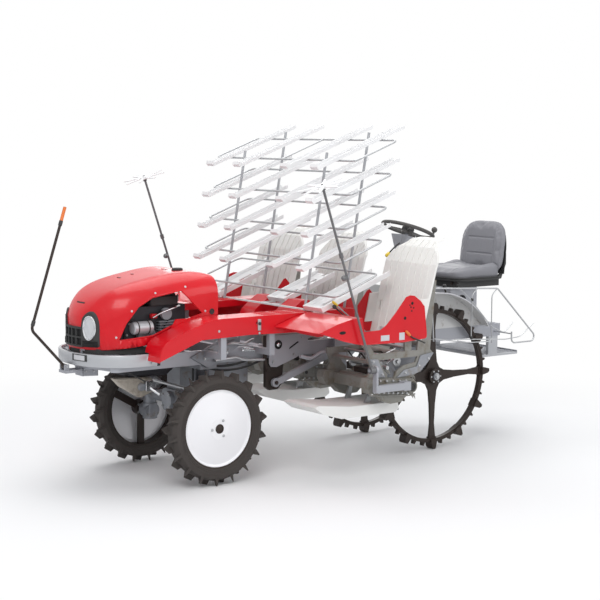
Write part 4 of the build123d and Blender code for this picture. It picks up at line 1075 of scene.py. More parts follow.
    def bumper(self) -> None:
        """Bowed silver band, blank name plate, end caps, bolts and the grey bracket box below."""
        line = self.band_line()
        corner = np.array([(-9, -30), (-9, 30), (-7, 34), (7, 34), (9, 30), (9, -30), (7, -34),
                           (-7, -34)]) / MM
        fixed("bumper_band", SILVER, swept(line, corner, steady=(0, 0, 1)), stands_for=("bumper",))
        across = np.linspace(48, 163, 9)
        depth = np.interp(across, (0, 45, 90, 134, 178), (-697, -694.5, -688, -678.5, -664))
        plate = places(rows_of(across, depth, 744.0)) + np.array([0.0015, -0.0100, 0])
        fixed("bumper_plate_backing", BLACK, swept(plate, strip(0.0020, 0.036), steady=(0, 0, 1)))
        fixed("bumper_plate_blank", PALE_PLASTIC,
              swept(plate[1:-1] + (0.0006, -0.0012, 0), strip(0.0018, 0.027), steady=(0, 0, 1)))
        cap = box(325.5, 346.5, -339, -318, 696.5, 767.5)
        fixed("bumper_end_caps", BLACK, *both_sides(cap), bevel=3.0)
        bolts = Bolt(13, 5).at([(345, -372, 716), (345, -372, 748)], (1, 0, 0))
        fixed("bumper_bolts", ZINC, *both_sides(bolts))
        inset = self.bent(rows_of(np.linspace(-226, 226, 31), -660.0, 776.0))
        edge = np.array([(268.0 + k, -600.0 + 24 * k, 776.0) for k in range(12)])
        left = self.bent(edge) - (12, 0, 0)
        right = left[::-1] * (-1, 1, 1)
        seal = places(np.concatenate([right, inset, left]))
        fixed("nose_seal", BLACK, swept(seal, strip(0.006, 0.030), steady=(0, 0, 1)))
        side = side_slab([(-638, 627), (-540, 622), (-540, 676), (-638, 676)], 38, 43)
        front = box(-43, 43, -638, -633, 626, 676)
        fixed("tie_down_box", FRAME_GREY, *both_sides(side), front, box(-43, 43, -633, -541, 672, 676),
              box(-43, 43, -545, -541, 622, 676), bevel=1.5)
        fixed("tie_down_box_bolts", ZINC,
              *both_sides(Bolt(12, 5).at([(43, -618, 652), (43, -568, 652)], (1, 0, 0))))

    def pole(self) -> None:
        """Orange tip, collars and hinge bolts of the sighting pole."""
        low, high = np.array([0, -741.5, 1481.3]), np.array([0, -714.2, 1566.4])
        line = places([low, low + (high - low) * 0.02, low + (high - low) * 0.97, high])
        piece("front_pole", "pole_tip", ORANGE, swept(line, circle(1.0, 14) * 0.0092))
        way = (0, -714 + 927.46, 1567 - 902)
        ring = ((0, 0), (11, 0), (11, 26), (9, 29), (0, 29))
        piece("front_pole", "pole_collars", BLACK, turned(ring, (0, -920.2, 924), way, 20),
              turned(ring, (0, -746.5, 1465.5), way, 20))
        fixed("pole_hinge_bolt", ZINC, Bolt(15, 6).at([(30, -728, 686)], (1, 0, 0)),
              Bolt(15, 6).at([(-30, -728, 686)], (-1, 0, 0)))

    def build(self) -> None:
        """Make every piece of the nose."""
        skin = Skin(self.shell())
        self.bonnet(skin)
        self.grille(skin)
        self.lamps(skin)
        self.rails()
        self.bumper()
        self.pole()


@dataclass
class EngineBay:
    """What shows of the engine through the bonnet's windows, and the black pan below; millimetres."""

    fin_rows: int = 9
    can: tuple[float, float, float] = (233.0, -432.0, 900.0)

    def left_side(self) -> None:
        """Casing panels, cooling fins, oil filter cans, pulleys and belt."""
        panel = side_slab([(-462, 790), (-462, 910), (-440, 935), (-300, 935), (-270, 900), (-270, 790)], 188,
                          202)
        fixed("engine_side_panels", ENGINE, *both_sides(panel), bevel=6.0)
        bolts = [(202, y, z) for y, z in ((-448, 805), (-448, 860), (-430, 920), (-365, 922), (-300, 918),
                                          (-284, 860), (-284, 805), (-365, 803))]
        fixed("engine_panel_bolts", ZINC, *both_sides(Bolt(11, 5).at(bolts, (1, 0, 0))))
        fins = [box(188, 226, -250, -110, 800 + 15 * row, 804 + 15 * row) for row in range(self.fin_rows)]
        barrel = box(188, 212, -236, -124, 800, 925)
        fixed("engine_cooling_fins", CASTING, *both_sides(*fins, barrel), bevel=1.0)
        can = ((0, 0), (30, 0), (36, 6), (36, 118), (30, 124), (0, 124))
        left, behind, up = self.can
        cans = [turned(can, (x, behind, up), (0, 1, 0), 32) for x in (left, -left)]
        fixed("oil_filter_cans", SILVER, *cans)
        bands = [turned(((36.5, y), (38, y), (38, y + 6), (36.5, y + 6), (36.5, y)), self.can, (0, 1, 0), 32)
                 for y in (24, 92)]
        fixed("filter_bands", DARK_STEEL, *bands)
        pulley = ((0, 0), (58, 0), (58, 4), (50, 9), (50, 13), (58, 18), (58, 22), (20, 22),
                  (20, 14), (0, 14))
        idler = ((0, 0), (34, 0), (34, 4), (28, 9), (34, 14), (34, 18), (0, 18))
        fixed("fan_pulley", CASTING, turned(pulley, (204, -330, 845), (1, 0, 0), 40),
              turned(idler, (204, -200, 965), (1, 0, 0), 32))
        belt = rounded(places([(214, -378, 812), (214, -300, 795), (214, -176, 940), (214, -180, 990),
                               (214, -222, 990), (214, -385, 870)]), 0.045, 8, closed=True)
        fixed("fan_belt", BLACK, swept(belt, strip(0.004, 0.011), closed=True, steady=(1, 0, 0)))

    def top(self) -> None:
        """Air cleaner, its hose, the silencer, the wiring, the fuel pipe and the spark cover."""
        fixed("air_cleaner", BLACK, box(-90, 214, -300, -120, 1011, 1066),
              box(-80, 204, -292, -128, 1060, 1078), bevel=8.0)
        clips = [box(60 * k - 40, 60 * k - 28, -121, -116, 1030, 1070) for k in range(5)]
        fixed("air_cleaner_clips", ZINC, *clips, bevel=1.0)
        hose = rod([(150, -296, 1040), (170, -380, 1030), (205, -420, 985), (228, -440, 950)], 19, 60, 14)
        fixed("air_hose", BLACK, hose)
        silencer = ((0, 0), (40, 0), (52, 10), (52, 190), (40, 200), (0, 200))
        fixed("silencer", DARK_STEEL, turned(silencer, (-150, -440, 1052), (0, 1, 0), 32))
        wires = [rod([(205, -100 - 8 * k, 780), (222 + 5 * k, -180, 790 + 6 * k), (226, -300, 776 + 7 * k),
                      (208, -440, 782)], 4, 50, 8) for k in range(4)]
        fixed("wiring_loom", BLACK, *wires)
        pipe = [(236, -300, 950), (240, -250, 975), (240, -160, 1000), (212, -110, 1005)]
        fixed("fuel_pipe", CHROME, rod(pipe, 5, 30, 10))
        fixed("spark_cover", RED, box(196, 226, -300, -262, 944, 970), bevel=5.0)

    def pan(self) -> None:
        """Black pan and ribs below the engine, between the rails."""
        tray = side_slab([(-402, 749), (-402, 640), (-370, 604), (-120, 598), (-62, 640), (-62, 749)], -98,
                         98)
        ribs = [side_slab([(-396, 640), (-366, 600), (-124, 594), (-70, 636), (-124, 602), (-366, 608)],
                          x - 3, x + 3) for x in (-80, -40, 0, 40, 80)]
        fixed("engine_pan", ENGINE, tray, bevel=12.0)
        fixed("engine_pan_ribs", ENGINE, *ribs)
        fixed("drain_plug", ZINC, Bolt(22, 9, 3).at([(40, -300, 596)], (0, 0, -1)))

    def build(self) -> None:
        """Make every piece of the engine bay."""
        self.left_side()
        self.top()
        self.pan()


@dataclass
class Wheels:
    """Caps, nuts and raised rings of the four wheels; millimetres."""

    front_x: float = 410.0
    front_r: float = 325.0
    rear_x: float = 337.0
    rear_r: float = 463.0
    rear_behind: float = 1678.0

    def front(self, side: int, name: str) -> None:
        """Cap, bolts, rolled edge, sidewall rings, valve and hub nuts of a front wheel.

        Args:
            side: 1 for the machine's left, -1 for its right.
            name: left or right.
        """
        body = f"front_wheel_{name}"
        centre = (side * self.front_x, 0.0, self.front_r)
        out = (side, 0, 0)
        cap = ((0, 51), (9, 50.5), (17, 47.5), (19, 46.6), (20, 49), (24.5, 49.5), (27, 47),
               (27.5, 44), (0, 44))
        piece(body, f"hub_cap_{name}", DARK_STEEL, turned(cap, centre, out, 36))
        angle = np.radians([62, 182, 302])
        rows = rows_of(side * (self.front_x + 45), 50 * np.cos(angle), self.front_r + 50 * np.sin(angle))
        piece(body, f"disc_bolts_{name}", ZINC, Bolt(13, 4.5, 1.8).at(rows, out))
        edge = [(216.5 + 3 * cos(a), 34 + 3 * sin(a)) for a in np.linspace(0, 2 * pi, 9)]
        step = ((57, 44.6), (59, 45.9), (62, 45.4), (62, 43), (57, 43), (57, 44.6))
        piece(body, f"disc_rolled_edge_{name}", WHEEL_WHITE, turned(edge, centre, out, 72),
              turned(step, centre, out, 60))
        rings = []
        for radius, along in ((236, 42.6), (246, 46.8), (258, 51.4)):
            for way in (1, -1):
                rings.append(turned([(radius + 2.2 * cos(a), way * along + 2.2 * sin(a))
                                     for a in np.linspace(0, 2 * pi, 7)], centre, (1, 0, 0), 72))
        piece(body, f"sidewall_rings_{name}", TYRE, *rings)
        valve = [(centre[0] - side * 40, 0, self.front_r + 206),
                 (centre[0] - side * 52, 0, self.front_r + 198)]
        piece(body, f"valve_{name}", BLACK, rod(valve, 4, sides=10))
        spokes = Bolt(14, 6).at([(side * (self.front_x - 34), 38 * cos(a), self.front_r + 38 * sin(a))
                                 for a in np.radians([0, 72, 144, 216, 288])], (-side, 0, 0))
        piece(body, f"hub_nuts_{name}", ZINC, spokes)

    def rear(self, side: int, name: str) -> None:
        """Hub bolts, ring and axle nut of a rear wheel, and the beads of its lug ring.

        Args:
            side: 1 for the machine's left, -1 for its right.
            name: left or right.
        """
        body = f"rear_wheel_{name}"
        out = (side, 0, 0)
        centre = (side * self.rear_x, self.rear_behind, self.rear_r)
        angle = np.radians([0, 60, 120, 180, 240, 300])
        rows = rows_of(side * (self.rear_x + 34), self.rear_behind + 37 * np.cos(angle),
                       self.rear_r + 37 * np.sin(angle))
        piece(body, f"rear_hub_bolts_{name}", ZINC, Bolt(12, 5).at(rows, out))
        ring = ((25, 30), (48, 30), (48, 35.5), (45, 37), (27, 37), (25, 35.5), (25, 30))
        piece(body, f"rear_hub_ring_{name}", DARK_STEEL, turned(ring, centre, out, 40))
        washer = ((0, 45.5), (20, 45.5), (20, 48), (0, 48))
        nut = ((0, 48), (15, 48), (15, 56), (13, 58), (0, 58))
        fixed(f"rear_axle_nut_{name}", ZINC, turned(washer, centre, out, 24), turned(nut, centre, out, 6))
        beads = []
        for way in (-1, 1):
            beads.append(turned([(409 + 3.5 * cos(a), way * 17 + 3.5 * sin(a))
                                 for a in np.linspace(0, 2 * pi, 7)], centre, (1, 0, 0), 96))
        piece(body, f"rear_ring_beads_{name}", DARK_STEEL, *beads)

    def build(self) -> None:
        """Dress both front and both rear wheels."""
        for side, name in ((1, "left"), (-1, "right")):
            self.front(side, name)
            self.rear(side, name)


@dataclass
class Seat:
    """Padded bucket seat: a cushion and a curved back, swelled by cloth pressure; millimetres."""

    cushion_centre: tuple[float, float, float] = (0.0, 2202.0, 1070.0)
    cushion_half: tuple[float, float, float] = (216.0, 208.0, 36.0)
    back_centre: tuple[float, float, float] = (0.0, 2432.0, 1234.0)
    back_half: tuple[float, float, float] = (208.0, 27.0, 176.0)
    voxel: float = 8.0
    swell_cap: float = 12.0
    seam_width: float = 5.5
    seam_fade: float = 6.0
    seam_depth: float = 5.0

    @staticmethod
    def pillow(half: Point, square: float, steps: int = 40) -> Array:
        """Closed rounded block: each axis is half * sign(c)|c|^square of a sphere's coordinate.

        Args:
            half: half sizes in millimetres.
            square: exponent; near nought is a box, one is an ellipsoid.
            steps: steps from pole to pole.

        Returns:
            A (steps, 2 steps, 3) table in millimetres.
        """
        v = np.linspace(-pi / 2, pi / 2, steps)[:, None]
        u = np.linspace(0, 2 * pi, 2 * steps, endpoint=False)[None]
        ball = np.stack([np.cos(v) * np.cos(u), np.cos(v) * np.sin(u), np.sin(v) + 0 * u], -1)
        return np.sign(ball) * np.abs(ball) ** square * np.asarray(half)

    def cushion_form(self) -> Surface:
        """The cushion, with u and v its shares of the half width and the half depth.

        Its top's bolsters rise by 14 u^4, and towards the rear by 62 ((v + 0.15) / 1.15)^1.5 |u|^3
        more. Its front edge rolls down by 18 (-v)^3, and its middle is 6 (1 - u^2) deep.

        Returns:
            The closed surface.
        """
        table = self.pillow(self.cushion_half, 0.36)
        x, y, z = table[..., 0], table[..., 1], table[..., 2]
        u, v = x / self.cushion_half[0], y / self.cushion_half[1]
        top = np.clip(z / self.cushion_half[2], 0, 1)
        sweep = np.clip((v + 0.15) / 1.15, 0, 1) ** 1.5 * np.abs(u) ** 3
        z = z + top * (62 * sweep + 14 * u ** 4 - 18 * np.clip(-v, 0, 1) ** 3 - 6 * (1 - u ** 2))
        table = np.stack([x, y, z], -1) + np.asarray(self.cushion_centre)
        return grid(places(table.reshape(-1, 3)).reshape(table.shape), close_v=True)

    def back_form(self) -> Surface:
        """The back, with u and w its shares of the half width and the half height.

        Above its middle it narrows by 0.10 w^2 and its corners drop by 26 w |u|^2.5. It leans back
        by 24 w, and its sides curl forward by 34 u^2.

        Returns:
            The closed surface.
        """
        table = self.pillow(self.back_half, 0.42)
        x, y, z = table[..., 0], table[..., 1], table[..., 2]
        up = z / self.back_half[2]
        x = x * (1 - 0.10 * np.clip(up, 0, 1) ** 2)
        z = z - 26 * np.clip(up, 0, 1) * (np.abs(x) / self.back_half[0]) ** 2.5
        y = y - 34 * (x / self.back_half[0]) ** 2 + 24 * up
        table = np.stack([x, y, z], -1) + np.asarray(self.back_centre)
        return grid(places(table.reshape(-1, 3)).reshape(table.shape), close_v=True)

    def padded(self, name: str, form: Surface, grooves: Sequence[tuple[int, float, float, float]],
               upright: bool = False) -> bpy.types.Object:
        """Swell a form as cloth, press its seams in and dress it.

        Each seam sinks by its depth times exp(-(distance / width)^2), and fades out at its ends by
        1 / (1 + exp(-distance / fade)).

        Args:
            name: the piece's name.
            form: its starting form.
            grooves: rows of (way, place, low, high) in metres; a seam of way 0 runs up or along the
                seat at that place across it, and one of way 1 runs across at that place along it.
            upright: it faces forward and not up.

        Returns:
            The piece.
        """
        shown = fixed(name, VINYL, form)
        shape = shown.modifiers.new("remesh", "REMESH")
        shape.mode = "VOXEL"
        shape.voxel_size = self.voxel / MM
        self.apply(shown)
        start = coordinates(shown.data)
        cloth = shown.modifiers.new("cloth", "CLOTH")
        cloth.settings.use_pressure = True
        cloth.settings.uniform_pressure_force = 4.0
        cloth.settings.effector_weights.gravity = 0.0
        for frame_number in range(1, 21):
            bpy.context.scene.frame_set(frame_number)
        self.apply(shown)
        bpy.context.scene.frame_set(1)
        move = coordinates(shown.data) - start
        length = np.linalg.norm(move, axis=1, keepdims=True)
        start = start + move * np.minimum(1, self.swell_cap / MM / np.maximum(length, 1e-9))
        shown.data.vertices.foreach_set("co", start.ravel())
        finer = shown.modifiers.new("finer", "SUBSURF")
        finer.levels = finer.render_levels = 1
        self.apply(shown)
        place = coordinates(shown.data)
        normals = np.empty(len(shown.data.vertices) * 3)
        shown.data.vertices.foreach_get("normal", normals)
        normals = normals.reshape(-1, 3)
        depth = np.zeros(len(place))
        width, fade = self.seam_width / MM, self.seam_fade / MM
        second = 2 if upright else 1
        for way, at, low, high in grooves:
            across, along = (0, second) if way == 0 else (second, 0)
            near = np.exp(-((place[:, across] - at) / width) ** 2)
            begun = 1 / (1 + np.exp(-(place[:, along] - low) / fade))
            inside = begun / (1 + np.exp((place[:, along] - high) / fade))
            depth = np.maximum(depth, near * inside)
        facing = normals[:, 1] < -0.35 if upright else normals[:, 2] > 0.35
        place = place - normals * (depth * facing * (self.seam_depth / MM))[:, None]
        shown.data.vertices.foreach_set("co", place.ravel())
        shown.data.shade_smooth()
        return shown

    @staticmethod
    def apply(shown: bpy.types.Object) -> None:
        """Make the evaluated mesh the object's own and drop its modifiers.

        Args:
            shown: the object.
        """
        bpy.context.view_layer.update()
        result = bpy.data.meshes.new_from_object(shown.evaluated_get(bpy.context.evaluated_depsgraph_get()))
        shown.modifiers.clear()
        shown.data = result

    def shell(self) -> None:
        """Tray under the cushion with its piping, curved shell behind the back, brackets and slides."""
        angle = np.linspace(0, 2 * pi, 48, endpoint=False)
        round_x = np.sign(np.cos(angle)) * np.abs(np.cos(angle)) ** 0.45
        round_y = np.sign(np.sin(angle)) * np.abs(np.sin(angle)) ** 0.45
        tray = places(np.c_[222 * round_x, 2204 + 214 * round_y, np.full(48, 1026.0)])
        piping = places(np.c_[222 * round_x, 2203 + 214 * round_y, np.full(48, 1046.0)])
        fixed("seat_tray", BLACK, slab(tray, (0, 0, 0.017)), bevel=3.0)
        fixed("seat_piping", BLACK, swept(piping, circle(0.0042, 8), closed=True))
        across = np.linspace(-1, 1, 15)[None]
        rise = np.linspace(-1, 1, 11)[:, None]
        x = 196 * across * (1 - 0.10 * np.clip(rise, 0, 1) ** 2)
        y = 2460 - 30 * across ** 2 + 14 * rise
        z = 1196 + 138 * rise - 22 * np.clip(rise, 0, 1) * np.abs(across) ** 2.5
        front = np.stack(np.broadcast_arrays(x, y, z), -1)
        rear = front + (0, 5.0, 0)
        wall = grid(places(front.reshape(-1, 3)).reshape(front.shape)[::-1])
        outer = grid(places(rear.reshape(-1, 3)).reshape(rear.shape))
        rim = np.concatenate([np.arange(15), np.arange(1, 11) * 15 + 14, 150 + np.arange(13, -1, -1),
                              np.arange(9, 0, -1) * 15])
        edge = np.stack([places(front.reshape(-1, 3))[rim], places(rear.reshape(-1, 3))[rim]])
        fixed("seat_back_shell", BLACK, wall, outer, grid(edge, close_v=True))
        hinge = side_slab([(2395, 1024), (2432, 1024), (2474, 1120), (2474, 1190), (2456, 1190),
                           (2450, 1130)], 150, 158)
        fixed("seat_back_brackets", BLACK, *both_sides(hinge), bevel=1.5)
        slides = [box(120, 146, 2030, 2370, 985.5, 1003), box(126, 140, 2010, 2390, 1003, 1026)]
        fixed("seat_slides", DARK_STEEL, *both_sides(*slides), bevel=1.2)
        lever = [(150, 2040, 1012), (196, 2030, 1010), (206, 1992, 1008)]
        fixed("seat_slide_lever", BLACK, rod(lever, 5, 12))

    def build(self) -> None:
        """Make the cushion, the back and their shell."""
        low, high = FRONT_AXLE_Y + 2.030, FRONT_AXLE_Y + 2.380
        cushion_seams = [(0, x, low, high) for x in (-0.135, 0.135)]
        cushion_seams += [(1, FRONT_AXLE_Y + y, -0.130, 0.130) for y in (2.120, 2.260)]
        back_seams = [(0, x, 1.09, 1.372) for x in (-0.128, 0.128)]
        back_seams += [(1, z, -0.128, 0.128) for z in (1.185, 1.290)]
        cushion = self.padded("seat_cushion", self.cushion_form(), cushion_seams)
        back = self.padded("seat_back", self.back_form(), back_seams, upright=True)
        for shown in (cushion, back):
            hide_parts("seat")
        self.shell()


@dataclass
class Rear:
    """Details of the operator's place, carrier and rear frame; millimetres."""

    wire_x: float = 452.0
    column_tilt: float = 20.0
    wheel_centre: tuple[float, float, float] = (0.0, 1752.0, 1362.0)
    head_drop: float = 52.0
    fender_x: float = 381.0
    fender_r: float = 524.0
    hub: tuple[float, float] = (1678.0, 463.0)

    def wires(self) -> None:
        """Extra bent wires of the carrier, its stay and black knobs, in the plane of its loop."""
        x = self.wire_x
        lines = (
            [(1949, 1009), (1904, 975), (1901, 868), (1898, 690)],
            [(2118, 1000), (2072, 960), (2072, 740), (2077, 655)],
            [(1795, 1018), (1893, 939), (2075, 756), (2187, 711), (2261, 776)],
            [(1594, 715), (1864, 672), (2062, 664), (2077, 690)],
            [(1761, 700), (2199, 668), (2326, 677), (2446, 758)],
        )
        made = [rod([(x, y, z) for y, z in line], 3.4, 22, 8) for line in lines]
        made.append(rod([(x, 1585, 712), (x - 60, 1585, 706), (384, 1592, 722)], 3.4, 18, 8))
        fixed("carrier_wires", ZINC, *made)
        knobs = [turned(((0, -9), (7, -9), (9, -5), (9, 5), (7, 9), (0, 9)), (x, y, z), (0, 0, 1), 16)
                 for y, z in ((1903, 940), (1899, 700))]
        fixed("carrier_knobs", BLACK, *knobs)

    def column(self) -> None:
        """Dash with its dial, lights and key, boot and lever of the steering column, and hub pad."""
        tilt = radians(self.column_tilt)
        axis = np.array([0.0, sin(tilt), cos(tilt)])
        centre = np.array(self.wheel_centre)
        slope = np.array([1.0, 0, 0]), np.array([0.0, cos(tilt), -sin(tilt)])

        def on_head(x: float, y: float, drop: float) -> Array:
            """A place on the head: x to the left, y towards the seat, drop below the wheel."""
            return centre + slope[0] * x + slope[1] * y - axis * drop

        dial = ((0, -1), (26, -1), (28, 2), (28, 5), (25, 6.5), (23, 4), (0, 3.4))
        fixed("dash_dial", DEEP_BLACK_AND_SHADE, turned(dial, on_head(-38, 6, self.head_drop), axis, 32))
        rim = ((25, 4), (29, 4), (29, 7), (25, 7.5), (25, 4))
        fixed("dash_dial_rim", CHROME, turned(rim, on_head(-38, 6, self.head_drop), axis, 32))
        spots = [turned(((0, -1), (5.5, -1), (5.5, 2.5), (4, 4), (0, 4)), on_head(x, y, self.head_drop), axis,
                        14) for x in (18, 36, 54) for y in (-24, -4)]
        fixed("dash_lights", PALE_PLASTIC, *spots)
        key = ((0, -1), (11, -1), (11, 6), (3, 7), (3, 24), (0, 24))
        fixed("dash_key", CHROME, turned(key, on_head(44, 40, self.head_drop), axis, 20))
        collar = ((0, 0), (46, 0), (46, 12), (30, 34), (26, 60), (0, 60))
        fixed("column_boot", BLACK, turned(collar, on_head(0, 0, 210), axis, 28))
        lever = [(46, 1644, 1282), (58, 1604, 1268), (60, 1540, 1219)]
        fixed("column_lever", BLACK, rod(lever, 5, 20))
        knob = ((0, -4), (8, -4), (12, 6), (12, 22), (8, 30), (0, 32))
        fixed("column_lever_knob", YELLOW, turned(knob, (60, 1545, 1223), (0, -83, -66), 18))
        hub = ((0, -14), (34, -14), (40, -6), (40, 4), (33, 12), (16, 15), (0, 15.5))
        piece("steering_wheel", "wheel_hub_pad", BLACK, turned(hub, centre + axis * 6, axis, 36))

    def base(self) -> None:
        """Post edging, bolts and plate, step treads and lips, fender edges, pedals and side levers."""
        ring = ((26, -2), (32, -2), (32, 2.5), (28, 3.5), (26, 2.5), (26, -2))
        fixed("seat_post_hole_rim", BLACK, *both_sides(turned(ring, (130.5, 2110, 900), (1, 0, 0), 32)))
        bolts = [(s * 105, y, 758) for s in (-1, 1) for y in (2040, 2210)]
        fixed("seat_post_bolts", ZINC, Bolt(16, 7).at(bolts, (0, 0, 1)))
        fixed("seat_post_plate", FRAME_GREY, box(-138, 138, 2002, 2248, 978, 985.4), bevel=2.0)
        treads = [box(x - 5, x + 5, 2160, 2450, 550, 553.5) for x in range(-260, 261, 40)]
        fixed("step_treads", FRAME_GREY, *treads, bevel=1.2)
        lip = [box(-292, 292, 2150, 2154, 550, 560), box(-292, 292, 2456, 2460, 550, 560)]
        fixed("step_lips", FRAME_GREY, *lip, bevel=1.0)
        arc = radians(1) * np.linspace(38, 140, 40)
        behind, up = self.hub
        line = places(rows_of(self.fender_x, behind - self.fender_r * np.cos(arc),
                              up + self.fender_r * np.sin(arc)))
        fixed("fender_edges", PALE_PLASTIC, *both_sides(swept(line, circle(0.0045, 8))))
        arms = [rod([(x, 1470, 838), (x, 1500, 800), (x, 1540, 740)], 7, 15) for x in (180, -180)]
        fixed("pedal_arms", FRAME_GREY, *arms)
        fixed("pedal_pads", BLACK, *both_sides(box(150, 210, 1440, 1500, 838, 844)), bevel=3.0)
        levers = [rod([(226, 1900, 751), (236, 1890, 900), (250, 1850, 1010)], 5.5, 40),
                  rod([(-226, 1900, 751), (-236, 1890, 880), (-246, 1860, 985)], 5.5, 40)]
        fixed("seat_side_levers", DARK_STEEL, *levers)
        knob = ((0, -16), (9, -14), (14, 0), (12, 12), (0, 17))
        fixed("seat_side_knobs", BLACK, turned(knob, (250, 1850, 1010), (0.1, -0.3, 1), 20),
              turned(knob, (-246, 1860, 985), (0.1, -0.3, 1), 20))

    def build(self) -> None:
        """Make every piece of the rear."""
        self.wires()
        self.column()
        self.base()


@dataclass
class Planting:
    """Dressing of the three double planting units, their covers and levers; millimetres."""

    pitch: float = 660.0
    face: float = 244.2
    side_plate: float = 198.0
    hub: tuple[float, float] = (1028.0, 531.0)
    cover_x: float = 904.3
    lever_x: float = 640.0
    row_lever_x: float = 912.0
    pipe_x: float = 452.0

    def case_side(self, x: float, side: int) -> dict[str, list[Surface]]:
        """What is on the outer face of one gear case.

        Args:
            x: distance of the face to the left.
            side: 1 where the face looks left, -1 where it looks right.

        Returns:
            Lists of surfaces for black parts, bolts and castings.
        """
        out = (side, 0, 0)
        hub = ((0, -1), (25, -1), (25, 5), (22, 8), (15, 8), (13, 4), (0, 4))
        cap = ((0, -1), (10, -1), (10, 3), (8, 4), (0, 4))
        black = [turned(hub, (x, *self.hub), out, 28), turned(cap, (x, 761, 553), out, 18)]
        bolts = [(x, 748 + 34 * k, 520 - 3.4 * k) for k in range(8)]
        bolts += [(x, 790 + 48 * k, 584 - 3.8 * k) for k in range(5)]
        ribs = [rod([(x, 818, 565), (x, 972, 552), (x, 972, 522), (x, 818, 536)], 2.6, 5, 6, closed=True),
                rod([(x, 712, 508), (x, 790, 498), (x, 1010, 480), (x, 1050, 486)], 4.2, 25, 8)]
        rings = turned(((29, -1), (36, -1), (36, 3), (31, 4), (29, -1)), (x, *self.hub), out, 36)
        return {"black": black, "bolts": [Bolt(11, 5, 1.2).at(bolts, out)], "cast": [*ribs, rings]}

    def unit_frame(self, x: float, side: int) -> list[Surface]:
        """Curved casting and inclined bracket outside one side plate.

        Args:
            x: distance of the plate's face to the left.
            side: 1 where the face looks left, -1 where it looks right.

        Returns:
            The two surfaces.
        """
        low, high = sorted((x, x + side * 7))
        curved = [(948, 583), (999, 623), (1097, 637), (1125, 698), (1201, 709), (1225, 707), (1179, 653),
                  (1121, 604), (1060, 590)]
        bracket = [(749, 706), (805, 701), (863, 592), (795, 598)]
        return [side_slab(curved, low, high), side_slab(bracket, low, high)]

    def mechanism(self, x: float) -> dict[str, list[Surface]]:
        """Shafts, cams, springs, rods and boxes above one unit's cases.

        Args:
            x: distance of the unit's middle to the left.

        Returns:
            Lists of surfaces for bright steel, springs and dark parts.
        """
        steel = [rod([(x - 170, y, z), (x + 170, y, z)], r, sides=14) for y, z, r in
                 ((905, 640, 12), (985, 668, 9), (860, 716, 8), (1060, 742, 10))]
        cam = ((12, -7), (27, -7), (30, -4), (30, 4), (27, 7), (12, 7), (12, -7))
        cams, springs, dark = [], [], []
        for k, reach in enumerate((-150, -95, -30, 40, 105, 152)):
            y, z = ((905, 640), (985, 668))[k % 2]
            cams.append(turned(cam, (x + reach, y, z), (1, 0, 0), 20))
            link = [(x + reach, y, z + 24), (x + reach + 8, y - 30, z + 52), (x + reach, 862, 716)]
            dark.append(rod(link, 4.5, 14, 8))
        for reach in (-125, 75, 130):
            springs.append(coil((x + reach, 925, 652), (x + reach, 1046, 734), 8.5, 1.7, 14))
        dark.append(box(x - 140, x + 140, 1000, 1052, 690, 716))
        dark.append(box(x - 60, x + 52, 842, 930, 596, 628))
        steel.append(rod([(x + 160, 807, 694), (x + 160, 969, 744)], 4, sides=8))
        return {"steel": steel + cams, "springs": springs, "dark": dark}

    def units(self) -> None:
        """Dress all three units."""
        black, bolts, cast, frames = [], [], [], []
        for number, name in ((-1, "right"), (0, "middle"), (1, "left")):
            centre = number * self.pitch
            for side in (-1, 1):
                found = self.case_side(centre + side * self.face, side)
                black += found["black"]
                bolts += found["bolts"]
                cast += found["cast"]
                frames += self.unit_frame(centre + side * self.side_plate, side)
            made = self.mechanism(centre)
            on_section(f"feed_shafts_{name}", ZINC, *made["steel"])
            on_section(f"feed_springs_{name}", CHROME, *made["springs"])
            on_section(f"feed_links_{name}", DARK_STEEL, *made["dark"], bevel=1.0)
        on_section("case_hub_covers", BLACK, *black)
        on_section("case_flange_bolts", ZINC, *bolts)
        on_section("case_ribs", DIRTY_CAST, *cast)
        on_section("unit_side_castings", CASTING, *frames, bevel=1.5)
        spots = [(n * self.pitch + self.side_plate + 7, y, z) for n in (-1, 0, 1)
                 for y, z in ((1184, 675), (1112, 640), (1010, 606), (770, 690), (838, 612))]
        on_section("unit_casting_bolts", ZINC, Bolt(14, 6).at(spots, (1, 0, 0)))

    def covers(self) -> None:
        """Painted shade in the side covers' holes and oval recess, their bare labels and rolled edges, and
        the trays' stop clips.
        """
        x = self.cover_x
        disc = ((0, -0.5), (1, -0.5), (1, 0.9), (0.9, 1.2), (0, 1.2))
        # Painted shade: near-black discs stand for the shade inside the cover's holes and its oval recess.
        spots = [turned([(r * a, b) for a, b in disc], (x, y, z), (1, 0, 0), 24)
                 for y, z, r in ((1022, 1012, 9), (1012, 990, 5), (1032, 985, 5), (1018, 968, 5),
                                 (1004, 1002, 4), (969, 930, 9.5))]
        middle = (x, 518, 877)
        recess = turned([(15 * a, b) for a, b in disc], middle, (1, 0, 0), 30)
        recess = Surface((recess.points - places(middle)) * (1, 1.5, 0.62) + places(middle), recess.faces)
        on_section("cover_holes", DEEP_BLACK_AND_SHADE, *both_sides(*spots, recess))
        labels = [box(x - 0.4, x + 0.9, 792, 854, 810, 842), box(x - 0.4, x + 0.9, 927, 967, 806, 849)]
        on_section("cover_bare_labels", PALE_PLASTIC, *both_sides(*labels), bevel=0.4)
        lip = [(1111, 992), (1131, 833), (1130, 805), (962, 794), (655, 800), (535, 828), (465, 851)]
        edge = rod([(x - 1, y, z) for y, z in lip], 3.2, 12, 8)
        on_section("cover_rolled_edges", RED, *both_sides(edge))
        clips = [box(n * self.pitch + s * 120 - 14, n * self.pitch + s * 120 + 14, 1092, 1104, 800, 838)
                 for n in (-1, 0, 1) for s in (-1, 1)]
        on_section("tray_stop_clips", PALE_PLASTIC, *clips, bevel=2.0)

